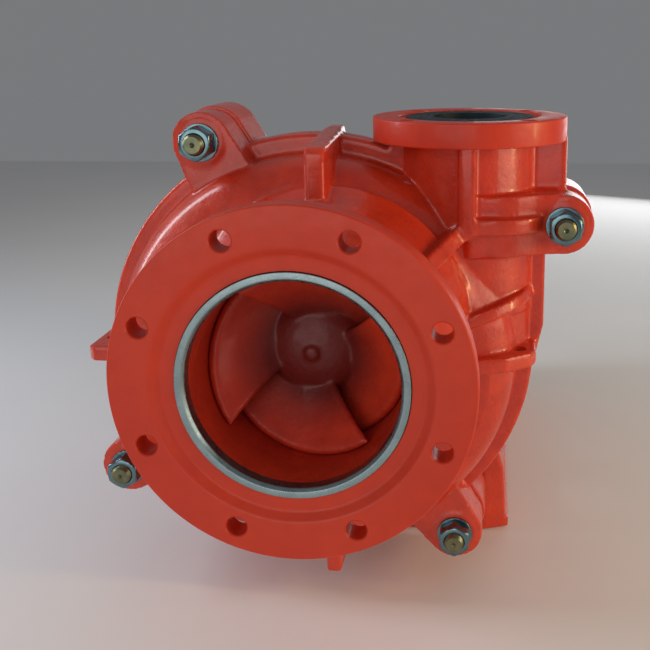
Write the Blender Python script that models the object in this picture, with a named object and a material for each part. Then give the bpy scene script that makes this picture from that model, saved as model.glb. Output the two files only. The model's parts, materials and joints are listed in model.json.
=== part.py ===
"""Horizontal slurry pump, bare shaft, with a split bolted casing and a top discharge.

Frame: +Z up, +X right and +Y from the suction flange towards the drive end.
The origin is on the floor, in the middle of the base's front foot bar, below the shaft.
Every mesh is drawn in pump coordinates (x, depth, height): depth is measured from the
suction flange's face, height from the shaft's centre line, and an empty places them all.
"""

import math

import bmesh
import bpy
from mathutils import Matrix, Vector

# Fits: a seat, a running gap, and half the gap of the split casing
SEAT_GAP = 0.0003
RUNNING_GAP = 0.0005
HALF_SPLIT = 0.00015

# Small shapes: chamfers, how far joined solids sink in, and how far cutters run past a face
EDGE = 0.002
FINE_EDGE = 0.001
SINK = 0.004
PAST = 0.010
FAR = 0.600
SPLIT_OVERRUN = 0.006
SPLIT_STAGGER = 0.0007

# Depth of the parting plane, and the room under the casing
PARTING_DEPTH = 0.343
FLOOR_CLEARANCE = 0.065

# Suction flange and throat
THROAT_BORE = 0.1006
THROAT_WALL = 0.0094
THROAT_CONE_RISE = 0.020
THROAT_LIP = 0.015
THROAT_NOSE_RADIUS = THROAT_BORE + THROAT_WALL
THROAT_FLANGE_RADIUS = THROAT_NOSE_RADIUS + THROAT_CONE_RISE + THROAT_LIP
SUCTION_BOLT_STANDOFF = 0.040
SUCTION_BOLT_MARGIN = 0.0215
SUCTION_RECESS_MARGIN = 0.0185
SUCTION_BOLT_CIRCLE = THROAT_NOSE_RADIUS + SUCTION_BOLT_STANDOFF
SUCTION_FLANGE_RADIUS = SUCTION_BOLT_CIRCLE + SUCTION_BOLT_MARGIN
SUCTION_RECESS_RADIUS = SUCTION_BOLT_CIRCLE - SUCTION_RECESS_MARGIN
SUCTION_FLANGE_THICKNESS = 0.027
SUCTION_BOLT_COUNT = 8
SUCTION_BOLT_HOLE = 0.010
SUCTION_RECESS_DEPTH = 0.002
SUCTION_NECK_WALL = 0.014
THROAT_SETBACK = 0.005
THROAT_FLANGE_THICKNESS = 0.038
THROAT_SHOULDER = 0.010
THROAT_NOSE_RUN = 0.030
THROAT_CONE_RUN = 0.050
THROAT_FLARE = 0.018
THROAT_OVERHANG = 0.004

# Casing drum and rim
CASING_RADIUS = 0.249
CASING_TOP_MARGIN = 0.038
CASING_RIGHT_MARGIN = 0.072
CASING_TOP = THROAT_FLANGE_RADIUS + CASING_TOP_MARGIN
CASING_RIGHT = THROAT_FLANGE_RADIUS + CASING_RIGHT_MARGIN
CASING_CENTRE_X = CASING_RIGHT - CASING_RADIUS
CASING_CENTRE_Z = CASING_TOP - CASING_RADIUS
AXIS_HEIGHT = CASING_RADIUS - CASING_CENTRE_Z + FLOOR_CLEARANCE
CASING_HALF_WIDTH = 0.084
SHELL_WALL = 0.013
SHOULDER_RADIUS = 0.016
DISH_START = 0.014
DISH_SETBACK = 0.006
RIM_PROUD = 0.016
RIM_THICKNESS = 0.021
FRAME_BOSS_RADIUS = 0.165
FRAME_BOSS_PROUD = 0.013

# Casing lugs and their bolts
STUD_STANDOFF = 0.039
STUD_CIRCLE = CASING_RADIUS + STUD_STANDOFF
STUD_ANGLES = {"upper_left": 115.8, "lower_left": 211.8, "lower_right": 306.5}
SIDE_STUD_OUT = 0.1115
SIDE_STUD_HEIGHT = 0.099
LUG_RADIUS = 0.034
LUG_ROOT_HALF_WIDTH = 0.041
COVER_LUG_DEPTH = 0.057
FRAME_LUG_DEPTH = 0.075
FRAME_LUG_GROWTH = 0.003
LUG_BOSS_RADIUS = 0.0265
LUG_BOSS_HEIGHT = 0.002
STUD_RADIUS = 0.012
STUD_HOLE_CLEARANCE = 0.0006
STUD_TIP = 0.012
NUT_ACROSS_FLATS = 0.036
NUT_HEIGHT = 0.0196
HEAD_HEIGHT = 0.015
WASHER_RADIUS = 0.022
WASHER_THICKNESS = 0.004

# Rib lugs that stand round the drum
RIB_THICKNESS = 0.0175
RIB_FRONT_PROUD = 0.004
TOP_RIB_X = -0.013
TOP_RIB_REACH = 0.012
BOTTOM_RIB_REACH = 0.024
FRAME_RIB_REACH = 0.022
FRAME_RIB_DEPTH = 0.040
SIDE_RIB_HEIGHT = -0.0605
SIDE_RIB_REACH_LEFT = 0.025
SIDE_RIB_REACH_RIGHT = 0.017
SIDE_RIB_HOLE = 0.0095
RIB_ROOT_DEPTH = 0.045
TOP_RIB_SLOPE = 0.050
RIB_CORNER = 0.008
LEFT_WEB_RUN = 0.025
LEFT_WEB_WIDTH = 0.058
LEFT_WEB_HEIGHT = 0.048

# Discharge neck and flange
NECK_INSET = 0.064
NECK_X = CASING_RIGHT - NECK_INSET
NECK_RADIUS = 0.078
NECK_WALL = 0.012
DISCHARGE_RISE = 0.037
DISCHARGE_TOP = CASING_TOP + DISCHARGE_RISE
DISCHARGE_FLANGE_RADIUS = 0.115
DISCHARGE_FLANGE_THICKNESS = 0.028
DISCHARGE_BOLT_CIRCLE = 0.0965
DISCHARGE_BOLT_COUNT = 4
DISCHARGE_BOLT_HOLE = 0.0095
DISCHARGE_BORE = 0.044
DISCHARGE_STEP_RADIUS = 0.084
DISCHARGE_STEP_DEPTH = 0.003
JOINT_RING_RADIUS = 0.076
JOINT_RING_THICKNESS = 0.015
NECK_WEB_REACH = 0.092
NECK_WEB_RIGHT = NECK_X + NECK_WEB_REACH
NECK_RIB_THICKNESS = 0.017
NECK_RIB_PROUD = 0.020
LEDGE_PROUD = 0.013
LEDGE_THICKNESS = 0.010
LEDGE_TILT = 29.0
LEDGE_HEIGHT = -0.022

# Liner of the volute
LINER_WALL = 0.0135
LINER_CORNER = 0.020
INSERT_THICKNESS = 0.020
INSERT_BORE_GAP = 0.004

# Impeller
VANE_COUNT = 4
VANE_TIP_GAP = 0.0036
VANE_TIP_RADIUS = THROAT_BORE - VANE_TIP_GAP
VANE_TIP_DEPTH = 0.062
VANE_THICKNESS = 0.009
VANE_PHASE = 39.0
VANE_LEAD = 0.180
VANE_STEADY_RUN = 0.075
VANE_INNER_LAG = 0.018
VANE_FOOT_LAG = 0.012
VANE_ROOT_SINK = 0.006
VANE_EYE_CORNER = 0.014
VANE_RIM_INSET = 0.0015
IMPELLER_RIM_GAP = 0.007
IMPELLER_RADIUS = THROAT_FLANGE_RADIUS - IMPELLER_RIM_GAP
IMPELLER_HUB_RADIUS = 0.040
IMPELLER_NOSE_DEPTH = 0.094
NOSE_ROUNDING = 0.030
NOSE_TIP_RADIUS = 0.016
HUB_FLARE = 0.016
IMPELLER_FRONT_GAP = 0.004
IMPELLER_BACK_GAP = 0.005
SHROUD_THICKNESS = 0.010
BACK_SHROUD_THICKNESS = 0.012
SHROUD_EYE_GAP = 0.010

# Shaft and sleeve
JOURNAL_RADIUS = 0.045
SHAFT_STEP = 0.005
THREAD_STEP = 0.013
SEAL_STEP_FRONT = 0.001
SEAL_STEP_REAR = 0.007
SLEEVE_WALL = 0.010
THREAD_RADIUS = JOURNAL_RADIUS - THREAD_STEP
THREAD_LENGTH = 0.075
SLEEVE_SEAT_RADIUS = JOURNAL_RADIUS - SHAFT_STEP
SLEEVE_RADIUS = SLEEVE_SEAT_RADIUS + SLEEVE_WALL
SLEEVE_SETBACK = 0.0398
SEAL_RADIUS_FRONT = JOURNAL_RADIUS - SEAL_STEP_FRONT
SHAFT_MIDDLE_RADIUS = JOURNAL_RADIUS + SHAFT_STEP
SEAL_RADIUS_REAR = JOURNAL_RADIUS - SEAL_STEP_REAR
DRIVE_RADIUS = JOURNAL_RADIUS - 2 * SHAFT_STEP
DRIVE_LENGTH = 0.155
KEY_WIDTH = 0.018
KEY_HEIGHT = 0.011
KEY_LENGTH = 0.100
KEY_SINK = 0.0065

# Stuffing box, packing and gland
BOX_WALL = 0.0192
BOX_FLANGE_INSET = 0.025
BOX_FLANGE_RADIUS = THROAT_FLANGE_RADIUS - BOX_FLANGE_INSET
BOX_FLANGE_THICKNESS = 0.012
BOX_NECK_LENGTH = 0.010
BOX_EAR_THICKNESS = 0.020
BOX_EAR_RADIUS = 0.019
PACKING_SIZE = 0.016
LANTERN_WIDTH = 0.016
GLAND_BOLT_STANDOFF = 0.018
GLAND_BOLT_RADIUS = 0.006
GLAND_BOLT_LENGTH = 0.085
GLAND_PLATE_THICKNESS = 0.014
GLAND_CLEARANCE = 0.003
GLAND_ENTRY = 0.0511
GLAND_PLATE_GAP = 0.006
GLAND_NUT_ACROSS_FLATS = 0.019
GLAND_NUT_HEIGHT = 0.010
WATER_PORT_RADIUS = 0.006

# Bearing assembly
BEARING_GAP = 0.112
HOUSING_LENGTH = 0.320
BEARING_SECTION = 0.030
HOUSING_WALL = 0.025
HOUSING_LAND = 0.013
RACE_RADIUS = JOURNAL_RADIUS + BEARING_SECTION
HOUSING_RADIUS = RACE_RADIUS + HOUSING_WALL
HOUSING_BORE = RACE_RADIUS - HOUSING_LAND
RACE_WIDTH = 0.040
RACE_SETBACK = 0.012
RACE_WALL = 0.0075
HOUSING_COLLAR = 0.030
GUSSET_SPACING = 0.045
GUSSET_THICKNESS = 0.012
LUG_SETBACK = 0.008
SLOT_SPARE = 0.0005
ROLLER_INSET = 0.005
SEAL_INSET = 0.001
CONE_RELIEF = 0.002
FLINGER_GAP = 0.005
ROLLER_RADIUS = 0.0058
ROLLER_COUNT = 10
CONE_WALL = 0.011
COVER_THICKNESS = 0.012
COVER_SPIGOT_WALL = 0.012
SEAL_WALL = 0.008
FLINGER_REACH = 0.012
FLINGER_RADIUS = SLEEVE_RADIUS + FLINGER_REACH
FLINGER_WIDTH = 0.009
RAIL_HEIGHT = -0.060
EAR_THICKNESS = 0.022
RAIL_WIDTH = 0.050
EAR_HALF_WIDTH = HOUSING_RADIUS + RAIL_WIDTH
EAR_INSET = 0.025
CLAMP_BOLT_MARGIN = 0.021
CLAMP_BOLT_OUT = EAR_HALF_WIDTH - CLAMP_BOLT_MARGIN
CLAMP_BOLT_INSET = 0.060
CLAMP_BOLT_RADIUS = 0.010
CLAMP_BOLT_FLATS = 0.030
CLAMP_BOLT_HEAD = 0.0125
CLAMP_BOLT_GRIP = 0.028
CLAMP_WASHER_RADIUS = 0.020
CLAMP_WASHER_THICKNESS = 0.005
ADJUST_TRAVEL = 0.0025
ADJUST_STANDOFF = 0.022
ADJUST_DROP = HOUSING_RADIUS + ADJUST_STANDOFF
ADJUST_RADIUS = 0.008
ADJUST_LUG_HALF_WIDTH = 0.020
ADJUST_LUG_THICKNESS = 0.020
ADJUST_TAIL = 0.026
ADJUST_NUT_FLATS = 0.024
ADJUST_NUT_HEIGHT = 0.015

# Base
BASE_OVERHANG = 0.040
BASE_FRONT_WALL = 0.026
BASE_WALL = 0.016
BASE_SPREAD = 0.053
BASE_FOOT_SPREAD = 0.003
BASE_RAIL_HALF_WIDTH = EAR_HALF_WIDTH
BASE_SHIN_HALF_WIDTH = BASE_RAIL_HALF_WIDTH + BASE_SPREAD
BASE_HALF_WIDTH = BASE_SHIN_HALF_WIDTH + BASE_FOOT_SPREAD
BASE_SHIN_HEIGHT = 0.090
BASE_RAIL_THICKNESS = 0.034
FRAME_BOLT_MARGIN = 0.021
BASE_RING_LEDGE = 0.024
FRAME_BOLT_CIRCLE = FRAME_BOSS_RADIUS - FRAME_BOLT_MARGIN
BASE_RING_BORE = FRAME_BOLT_CIRCLE - BASE_RING_LEDGE
FRAME_BOLT_ANGLES = (40, 140, 240, 300)
FRAME_BOLT_RADIUS = 0.010
FRAME_BOLT_FLATS = 0.030
FRAME_BOLT_HEAD = 0.0125
FRAME_BOLT_GRIP = 0.010
FOOT_THICKNESS = 0.014
FOOT_PROUD = 0.004
FOOT_BAR = 0.080
FOOT_RAIL = 0.045
FOOT_CHAMFER_X = 0.034
FOOT_CHAMFER_Y = 0.012
FOOT_HOLE = 0.011
FOOT_HOLE_OUT = 0.145
FOOT_HOLE_SETBACK = 0.054
WINDOW_LENGTH = 0.110
WINDOW_HALF_HEIGHT = 0.034
WINDOW_HEIGHT = 0.110
WINDOW_SETBACK = 0.110
WINDOW_INSET = 0.100
BULKHEAD_SETBACK = 0.034
BULKHEAD_TOP = -0.118

# Facets of round pieces
LARGE_STEPS = 36
ROUND_STEPS = 24
SMALL_STEPS = 12
SMOOTH_ANGLE = math.radians(32)
FLAT_ANGLE = math.radians(0.25)
MERGE = 0.000004

# Places that follow from the sizes above
INNER_HALF_WIDTH = CASING_HALF_WIDTH - SHELL_WALL
DRUM_FRONT = PARTING_DEPTH - CASING_HALF_WIDTH
LINER_OUTER_RADIUS = CASING_RADIUS - SHELL_WALL - SEAT_GAP
LINER_HALF_WIDTH = INNER_HALF_WIDTH - SEAT_GAP
CAVITY_HALF_WIDTH = LINER_HALF_WIDTH - LINER_WALL
CAVITY_RADIUS = LINER_OUTER_RADIUS - LINER_WALL
NECK_BORE = NECK_RADIUS - NECK_WALL
THROAT_END = PARTING_DEPTH - CAVITY_HALF_WIDTH + THROAT_OVERHANG
THROAT_FLANGE_FRONT = THROAT_END - THROAT_FLANGE_THICKNESS
IMPELLER_FRONT = THROAT_END + IMPELLER_FRONT_GAP
INSERT_FRONT = PARTING_DEPTH + CAVITY_HALF_WIDTH - INSERT_THICKNESS
IMPELLER_BACK = INSERT_FRONT - IMPELLER_BACK_GAP
BACK_WALL = PARTING_DEPTH + INNER_HALF_WIDTH
BOSS_FACE = PARTING_DEPTH + CASING_HALF_WIDTH + FRAME_BOSS_PROUD
BASE_FRONT = BOSS_FACE + SEAT_GAP
ORIGIN_DEPTH = BASE_FRONT + FOOT_BAR / 2
SHAFT_SHOULDER = IMPELLER_BACK + SEAT_GAP
BOX_FLANGE_BACK = BACK_WALL - SEAT_GAP
BOX_FLANGE_FRONT = BOX_FLANGE_BACK - BOX_FLANGE_THICKNESS
PACKING_START = BOX_FLANGE_FRONT + BOX_NECK_LENGTH
PACKING_END = PACKING_START + 3 * PACKING_SIZE + LANTERN_WIDTH + 4 * SEAT_GAP
BOX_REAR_DEPTH = PACKING_END + GLAND_ENTRY
HOUSING_START = BOX_REAR_DEPTH + BEARING_GAP
SLEEVE_END = HOUSING_START - SLEEVE_SETBACK
BULKHEAD_DEPTH = HOUSING_START - BULKHEAD_SETBACK
HOUSING_END = HOUSING_START + HOUSING_LENGTH
BASE_END_DEPTH = HOUSING_END + BASE_OVERHANG
FRONT_RACE = HOUSING_START + RACE_SETBACK
REAR_RACE = HOUSING_END - RACE_SETBACK - RACE_WIDTH
DRIVE_START = HOUSING_END + COVER_THICKNESS + SINK
SHAFT_END = DRIVE_START + DRIVE_LENGTH
PACKING_BORE = SLEEVE_RADIUS + RUNNING_GAP
PACKING_OUTER = PACKING_BORE + PACKING_SIZE
BOX_BORE = PACKING_OUTER + SEAT_GAP
BOX_RADIUS = BOX_BORE + BOX_WALL
GLAND_BOLT_OUT = BOX_RADIUS + GLAND_BOLT_STANDOFF
LUG_FRONT = PARTING_DEPTH - COVER_LUG_DEPTH
LUG_BACK = PARTING_DEPTH + FRAME_LUG_DEPTH
FLOOR = -AXIS_HEIGHT
DRUM_CENTRE = (CASING_CENTRE_X, CASING_CENTRE_Z)

# Directions: along the shaft, up, and across
AXIAL = Vector((0, 1, 0))
UPWARD = Vector((0, 0, 1))
ACROSS = Vector((1, 0, 0))

# Finishes: colour, roughness and metallic value
RED_PAINT = ((0.60, 0.055, 0.028), 0.30, 0.0)
BARE_STEEL = ((0.42, 0.43, 0.42), 0.38, 1.0)
ZINC_PLATE = ((0.62, 0.66, 0.68), 0.25, 1.0)
YELLOW_PLATE = ((0.55, 0.47, 0.25), 0.40, 1.0)
DARK_RUBBER = ((0.030, 0.040, 0.045), 0.65, 0.0)
WHITE_IRON = ((0.33, 0.32, 0.31), 0.55, 1.0)
GREY_PACKING = ((0.20, 0.19, 0.17), 0.85, 0.0)
BRONZE = ((0.55, 0.36, 0.16), 0.35, 1.0)


def clear_scene():
    """Remove the objects that are there at the start."""
    for thing in list(bpy.data.objects):
        bpy.data.objects.remove(thing, do_unlink=True)


def finish_material(name, finish):
    """A Principled material with the finish's colour, roughness and metallic value."""
    colour, roughness, metallic = finish
    material = bpy.data.materials.new(name)
    material.use_nodes = True
    shader = material.node_tree.nodes["Principled BSDF"]
    shader.inputs["Base Color"].default_value = (*colour, 1.0)
    shader.inputs["Roughness"].default_value = roughness
    shader.inputs["Metallic"].default_value = metallic
    return material


def solid(name, shape):
    """Put a bmesh into the scene as an object with outward faces."""
    bmesh.ops.recalc_face_normals(shape, faces=shape.faces)
    mesh = bpy.data.meshes.new(name)
    shape.to_mesh(mesh)
    shape.free()
    thing = bpy.data.objects.new(name, mesh)
    bpy.context.collection.objects.link(thing)
    return thing


def turned(name, profile, steps=ROUND_STEPS, centre=(0, 0, 0), axis=AXIAL):
    """Revolve (along, radius) points about an axis; a profile that ends on it stays open."""
    middle = Vector(centre)
    side = UPWARD if axis == ACROSS else ACROSS
    shape = bmesh.new()
    points = []
    for along, radius in profile:
        points.append(shape.verts.new(middle + axis * along + side * radius))
    edges = []
    for first, second in zip(points, points[1:]):
        edges.append(shape.edges.new((first, second)))
    hollow = min(radius for along, radius in profile) > 0
    if hollow:
        edges.append(shape.edges.new((points[-1], points[0])))
    bmesh.ops.spin(shape, geom=points + edges, cent=middle, axis=axis,
                   angle=math.tau, steps=steps, use_merge=True)
    bmesh.ops.remove_doubles(shape, verts=shape.verts, dist=1e-6)
    return solid(name, shape)


def tube(name, start, end, bore, radius, steps=ROUND_STEPS, chamfer=0.0, **place):
    """A turned ring from start to end, with chamfered outer corners."""
    profile = [(start, bore), (start, radius - chamfer)]
    if chamfer:
        profile.append((start + chamfer, radius))
        profile.append((end - chamfer, radius))
    profile.append((end, radius - chamfer))
    profile.append((end, bore))
    return turned(name, profile, steps, **place)


def rod(name, start, end, radius, steps=SMALL_STEPS, chamfer=0.0, **place):
    """A turned round bar from start to end, with chamfered ends."""
    profile = [(start, 0.0), (start, radius - chamfer)]
    if chamfer:
        profile.append((start + chamfer, radius))
        profile.append((end - chamfer, radius))
    profile.append((end, radius - chamfer))
    profile.append((end, 0.0))
    return turned(name, profile, steps, **place)


def extruded(name, outline, start, end, axis=AXIAL):
    """Extrude an outline along an axis; its points are the other two coordinates in order."""
    shape = bmesh.new()
    corners = []
    for first, second in outline:
        if axis == AXIAL:
            point = Vector((first, start, second))
        elif axis == UPWARD:
            point = Vector((first, second, start))
        else:
            point = Vector((start, first, second))
        corners.append(shape.verts.new(point))
    face = shape.faces.new(corners)
    grown = bmesh.ops.extrude_face_region(shape, geom=[face])
    moved = [item for item in grown["geom"] if isinstance(item, bmesh.types.BMVert)]
    bmesh.ops.translate(shape, verts=moved, vec=axis * (end - start))
    return solid(name, shape)


def block(name, across, along, height):
    """A rectangular block between three pairs of limits."""
    outline = [(across[0], height[0]), (across[1], height[0]),
               (across[1], height[1]), (across[0], height[1])]
    return extruded(name, outline, along[0], along[1])


def lofted(name, rings, closed=False):
    """Join rings of as many points each into one skin, capped or closed on itself."""
    shape = bmesh.new()
    loops = [[shape.verts.new(point) for point in ring] for ring in rings]
    count = len(loops[0])
    pairs = list(zip(loops, loops[1:]))
    if closed:
        pairs.append((loops[-1], loops[0]))
    for low, high in pairs:
        for index in range(count):
            after = (index + 1) % count
            shape.faces.new((low[index], low[after], high[after], high[index]))
    if not closed:
        shape.faces.new(loops[0])
        shape.faces.new(list(reversed(loops[-1])))
    return solid(name, shape)


def combined(body, tool, operation):
    """Apply one exact boolean and drop the tool."""
    step = body.modifiers.new("combine", "BOOLEAN")
    step.operation = operation
    step.solver = "EXACT"
    step.object = tool
    bpy.context.view_layer.update()
    graph = bpy.context.evaluated_depsgraph_get()
    mesh = bpy.data.meshes.new_from_object(body.evaluated_get(graph))
    shape = bmesh.new()
    shape.from_mesh(mesh)
    bmesh.ops.remove_doubles(shape, verts=shape.verts, dist=MERGE)
    bmesh.ops.dissolve_degenerate(shape, edges=shape.edges, dist=MERGE)
    shape.to_mesh(mesh)
    shape.free()
    body.modifiers.clear()
    body.data = mesh
    bpy.data.objects.remove(tool, do_unlink=True)
    return body


def flattened(body):
    """Join the faces that a boolean left in one plane."""
    shape = bmesh.new()
    shape.from_mesh(body.data)
    bmesh.ops.dissolve_limit(shape, angle_limit=FLAT_ANGLE, verts=shape.verts,
                             edges=shape.edges, use_dissolve_boundaries=False)
    shape.to_mesh(body.data)
    shape.free()


def fused(body, *tools):
    """Union of a body with each tool in turn."""
    for tool in tools:
        combined(body, tool, "UNION")
    return body


def cut(body, *tools):
    """A body less each tool in turn."""
    for tool in tools:
        combined(body, tool, "DIFFERENCE")
    return body


def arc(centre, radius, first, last, count):
    """Points on an arc from the first to the last angle, in degrees."""
    points = []
    for index in range(count + 1):
        turn = math.radians(first + (last - first) * index / count)
        points.append((centre[0] + radius * math.cos(turn),
                       centre[1] + radius * math.sin(turn)))
    return points


def mix(first, second, share):
    """The value that lies at a share of the way from the first to the second."""
    return first + (second - first) * share


def eased(share):
    """A smooth step from 0 to 1."""
    inside = min(max(share, 0.0), 1.0)
    return inside * inside * (3 - 2 * inside)


def hex_ring(centre, axis, along, corner, flat):
    """Twelve points about an axis: six at the corners and six at the middles of the flats."""
    side = UPWARD if axis == AXIAL else ACROSS
    other = axis.cross(side)
    points = []
    for index in range(12):
        turn = math.tau * index / 12
        radius = flat if index % 2 else corner
        points.append(Vector(centre) + axis * along
                      + side * (radius * math.cos(turn)) + other * (radius * math.sin(turn)))
    return points


def hex_rings(centre, axis, stations):
    """Rings for a loft through (along, corner radius, flat radius) stations."""
    return [hex_ring(centre, axis, *station) for station in stations]


def hexagon_nut(name, start, end, flats, bore, centre, axis=AXIAL):
    """A nut with its corners turned off at both ends."""
    corner = flats / math.sqrt(3)
    flat = flats / 2
    face = flat * 0.96
    slope = (corner - face) * 0.5
    stations = [(start, bore, bore), (start, face, face), (start + slope, corner, flat),
                (end - slope, corner, flat), (end, face, face), (end, bore, bore)]
    return lofted(name, hex_rings(centre, axis, stations), closed=True)


def bolt(name, centre, axis, tip, shoulder, radius, flats, head_height, dimple=0.0):
    """A hexagon bolt from its tip to its head, with a centre mark in the tip where asked."""
    away = 1 if shoulder > tip else -1
    corner = flats / math.sqrt(3)
    flat = flats / 2
    face = flat * 0.96
    slope = (corner - face) * 0.5
    head_end = shoulder + away * head_height
    edge = radius * 0.12
    stations = []
    if dimple:
        stations.append((tip + away * dimple, dimple * 0.1, dimple * 0.1))
        stations.append((tip, dimple, dimple))
    stations.append((tip, radius - edge, radius - edge))
    stations.append((tip + away * edge, radius, radius))
    stations.append((shoulder, radius, radius))
    stations.append((shoulder, corner, flat))
    stations.append((head_end - away * slope, corner, flat))
    stations.append((head_end, face, face))
    return lofted(name, hex_rings(centre, axis, stations))


def stud_places():
    """Name and (x, height) of each casing bolt."""
    places = {}
    for name, angle in STUD_ANGLES.items():
        places[name] = arc(DRUM_CENTRE, STUD_CIRCLE, angle, angle, 1)[0]
    places["upper_right"] = (NECK_X + SIDE_STUD_OUT, SIDE_STUD_HEIGHT)
    return places


def lug_outline(name, place, growth):
    """Round-ended outline that runs from a casing bolt into the drum or the neck."""
    radius = LUG_RADIUS + growth
    if name == "upper_right":
        end = arc(place, radius, -90, 90, 7)
        return end + [(NECK_X, place[1] + radius), (NECK_X, place[1] - radius)]
    angle = STUD_ANGLES[name]
    root = arc(DRUM_CENTRE, CASING_RADIUS * 0.88, angle, angle, 1)[0]
    half = LUG_ROOT_HALF_WIDTH + growth
    sideways = arc((0, 0), half, angle + 90, angle + 90, 1)[0]
    end = arc(place, radius, angle - 90, angle + 90, 7)
    return end + [(root[0] + sideways[0], root[1] + sideways[1]),
                  (root[0] - sideways[0], root[1] - sideways[1])]


def past_split(side, order):
    """Depth beyond the parting plane at which a casing solid ends before it is trimmed."""
    return PARTING_DEPTH - side * (SPLIT_OVERRUN + SPLIT_STAGGER * order)


def from_parting(side, distance):
    """Depth at a distance from the parting plane, on the cover's or the frame's side."""
    return PARTING_DEPTH + side * distance


def drum_cylinder(name, side, profile, steps=LARGE_STEPS):
    """Turn (distance from the parting plane, radius) points about the drum's centre."""
    points = [(from_parting(side, along), radius) for along, radius in profile]
    return turned(name, points, steps, (CASING_CENTRE_X, 0, CASING_CENTRE_Z))


def rim_and_neck(side):
    """Rim flange, webs beside the neck, the neck and its flange, before they are trimmed."""
    radius = CASING_RADIUS + RIM_PROUD
    rim = drum_cylinder("rim", side, [
        (-SPLIT_OVERRUN + FINE_EDGE, 0.0), (-SPLIT_OVERRUN + FINE_EDGE, radius),
        (RIM_THICKNESS - EDGE, radius), (RIM_THICKNESS, radius - EDGE), (RIM_THICKNESS, 0.0)])
    web_face = from_parting(side, RIM_THICKNESS - FINE_EDGE)
    past = past_split(side, 0)
    underside = DISCHARGE_TOP - DISCHARGE_FLANGE_THICKNESS
    web_left = NECK_X - NECK_RADIUS - RIM_PROUD
    corner_x = NECK_X + DISCHARGE_FLANGE_RADIUS * 0.995
    web_foot = CASING_CENTRE_Z + SINK
    web = [(web_left, web_foot), (NECK_WEB_RIGHT, web_foot), (NECK_WEB_RIGHT, SIDE_STUD_HEIGHT),
           (corner_x, SIDE_STUD_HEIGHT), (corner_x, underside + 1.5 * SINK),
           (web_left, underside + 1.5 * SINK)]
    web_plate = extruded("neck_web", web, min(past, web_face), max(past, web_face))
    axis_place = (NECK_X, PARTING_DEPTH, 0)
    neck = rod("neck", CASING_CENTRE_Z - SINK, underside + SINK, NECK_RADIUS, ROUND_STEPS,
               centre=axis_place, axis=UPWARD)
    flange = rod("discharge_flange", underside, DISCHARGE_TOP, DISCHARGE_FLANGE_RADIUS,
                 LARGE_STEPS, FINE_EDGE, centre=axis_place, axis=UPWARD)
    return fused(rim, web_plate, neck, flange)


def trim(side):
    """Block that takes away all that lies beyond the parting plane."""
    split = from_parting(side, HALF_SPLIT)
    far = PARTING_DEPTH - side * FAR
    return block("trim", (-FAR, FAR), (min(split, far), max(split, far)), (-FAR, FAR))


def neck_cutters(side):
    """Bore, joint ring seat, step and bolt holes of the discharge flange."""
    centre = (NECK_X, PARTING_DEPTH, 0)
    seat = DISCHARGE_TOP - JOINT_RING_THICKNESS - SEAT_GAP
    above = DISCHARGE_TOP + PAST
    cutters = [
        rod("neck_bore", CASING_CENTRE_Z + 1.5 * SINK, above, NECK_BORE, ROUND_STEPS,
            centre=centre, axis=UPWARD),
        rod("ring_seat", seat, above - FINE_EDGE, JOINT_RING_RADIUS + SEAT_GAP, ROUND_STEPS,
            centre=centre, axis=UPWARD),
        rod("flange_step", DISCHARGE_TOP - DISCHARGE_STEP_DEPTH, above - EDGE,
            DISCHARGE_STEP_RADIUS, ROUND_STEPS, centre=centre, axis=UPWARD)]
    for index in range(DISCHARGE_BOLT_COUNT):
        turn = math.tau * (index + 0.5) / DISCHARGE_BOLT_COUNT
        x = NECK_X + DISCHARGE_BOLT_CIRCLE * math.cos(turn)
        depth = PARTING_DEPTH + DISCHARGE_BOLT_CIRCLE * math.sin(turn)
        if (depth - PARTING_DEPTH) * side > 0:
            low = DISCHARGE_TOP - DISCHARGE_FLANGE_THICKNESS - PAST
            cutters.append(rod("flange_hole", low, above, DISCHARGE_BOLT_HOLE,
                               centre=(x, depth, 0), axis=UPWARD))
    return cutters


def lugs(side, reach):
    """The bolt lugs of one casing half, which run past the parting plane."""
    face = from_parting(side, reach)
    growth = FRAME_LUG_GROWTH if side > 0 else 0.0
    solids = []
    for order, (name, place) in enumerate(stud_places().items()):
        past = past_split(side, order + 1)
        outline = lug_outline(name, place, growth)
        solids.append(extruded("lug", outline, min(past, face), max(past, face)))
    return solids


def stud_holes(start, end):
    """Cutters for the casing bolts' holes."""
    cutters = []
    for place in stud_places().values():
        cutters.append(rod("stud_hole", start, end, STUD_RADIUS + STUD_HOLE_CLEARANCE,
                           SMALL_STEPS, centre=(place[0], 0, place[1])))
    return cutters


def cover_stations():
    """(depth, radius, share of the way to the drum's centre) down the cover's dished front."""
    neck_radius = THROAT_NOSE_RADIUS + SUCTION_NECK_WALL
    run_start = SUCTION_FLANGE_THICKNESS + DISH_START
    run_end = DRUM_FRONT - DISH_SETBACK
    run_radius = CASING_RADIUS - SHOULDER_RADIUS * 0.75
    count = 5
    stations = [(run_start, neck_radius, 0.0)]
    for index in range(1, count + 1):
        share = index / count
        swell = 0.45 * share + 0.55 * eased(share)
        stations.append((mix(run_start, run_end, share),
                         mix(neck_radius, run_radius, swell), eased(share)))
    for turn in (50, 90):
        angle = math.radians(turn)
        stations.append((DRUM_FRONT + SHOULDER_RADIUS * (1 - math.cos(angle)),
                         CASING_RADIUS - SHOULDER_RADIUS * (1 - math.sin(angle)), 1.0))
    return stations


def suction_flange_stations():
    """Stations of the suction flange, coaxial with the neck behind it."""
    edge = EDGE
    neck_radius = THROAT_NOSE_RADIUS + SUCTION_NECK_WALL
    radius = SUCTION_FLANGE_RADIUS
    thickness = SUCTION_FLANGE_THICKNESS
    return [(0.0, radius - edge, 0.0), (edge, radius, 0.0), (thickness - edge, radius, 0.0),
            (thickness, radius - edge, 0.0), (thickness, neck_radius, 0.0)]


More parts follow.
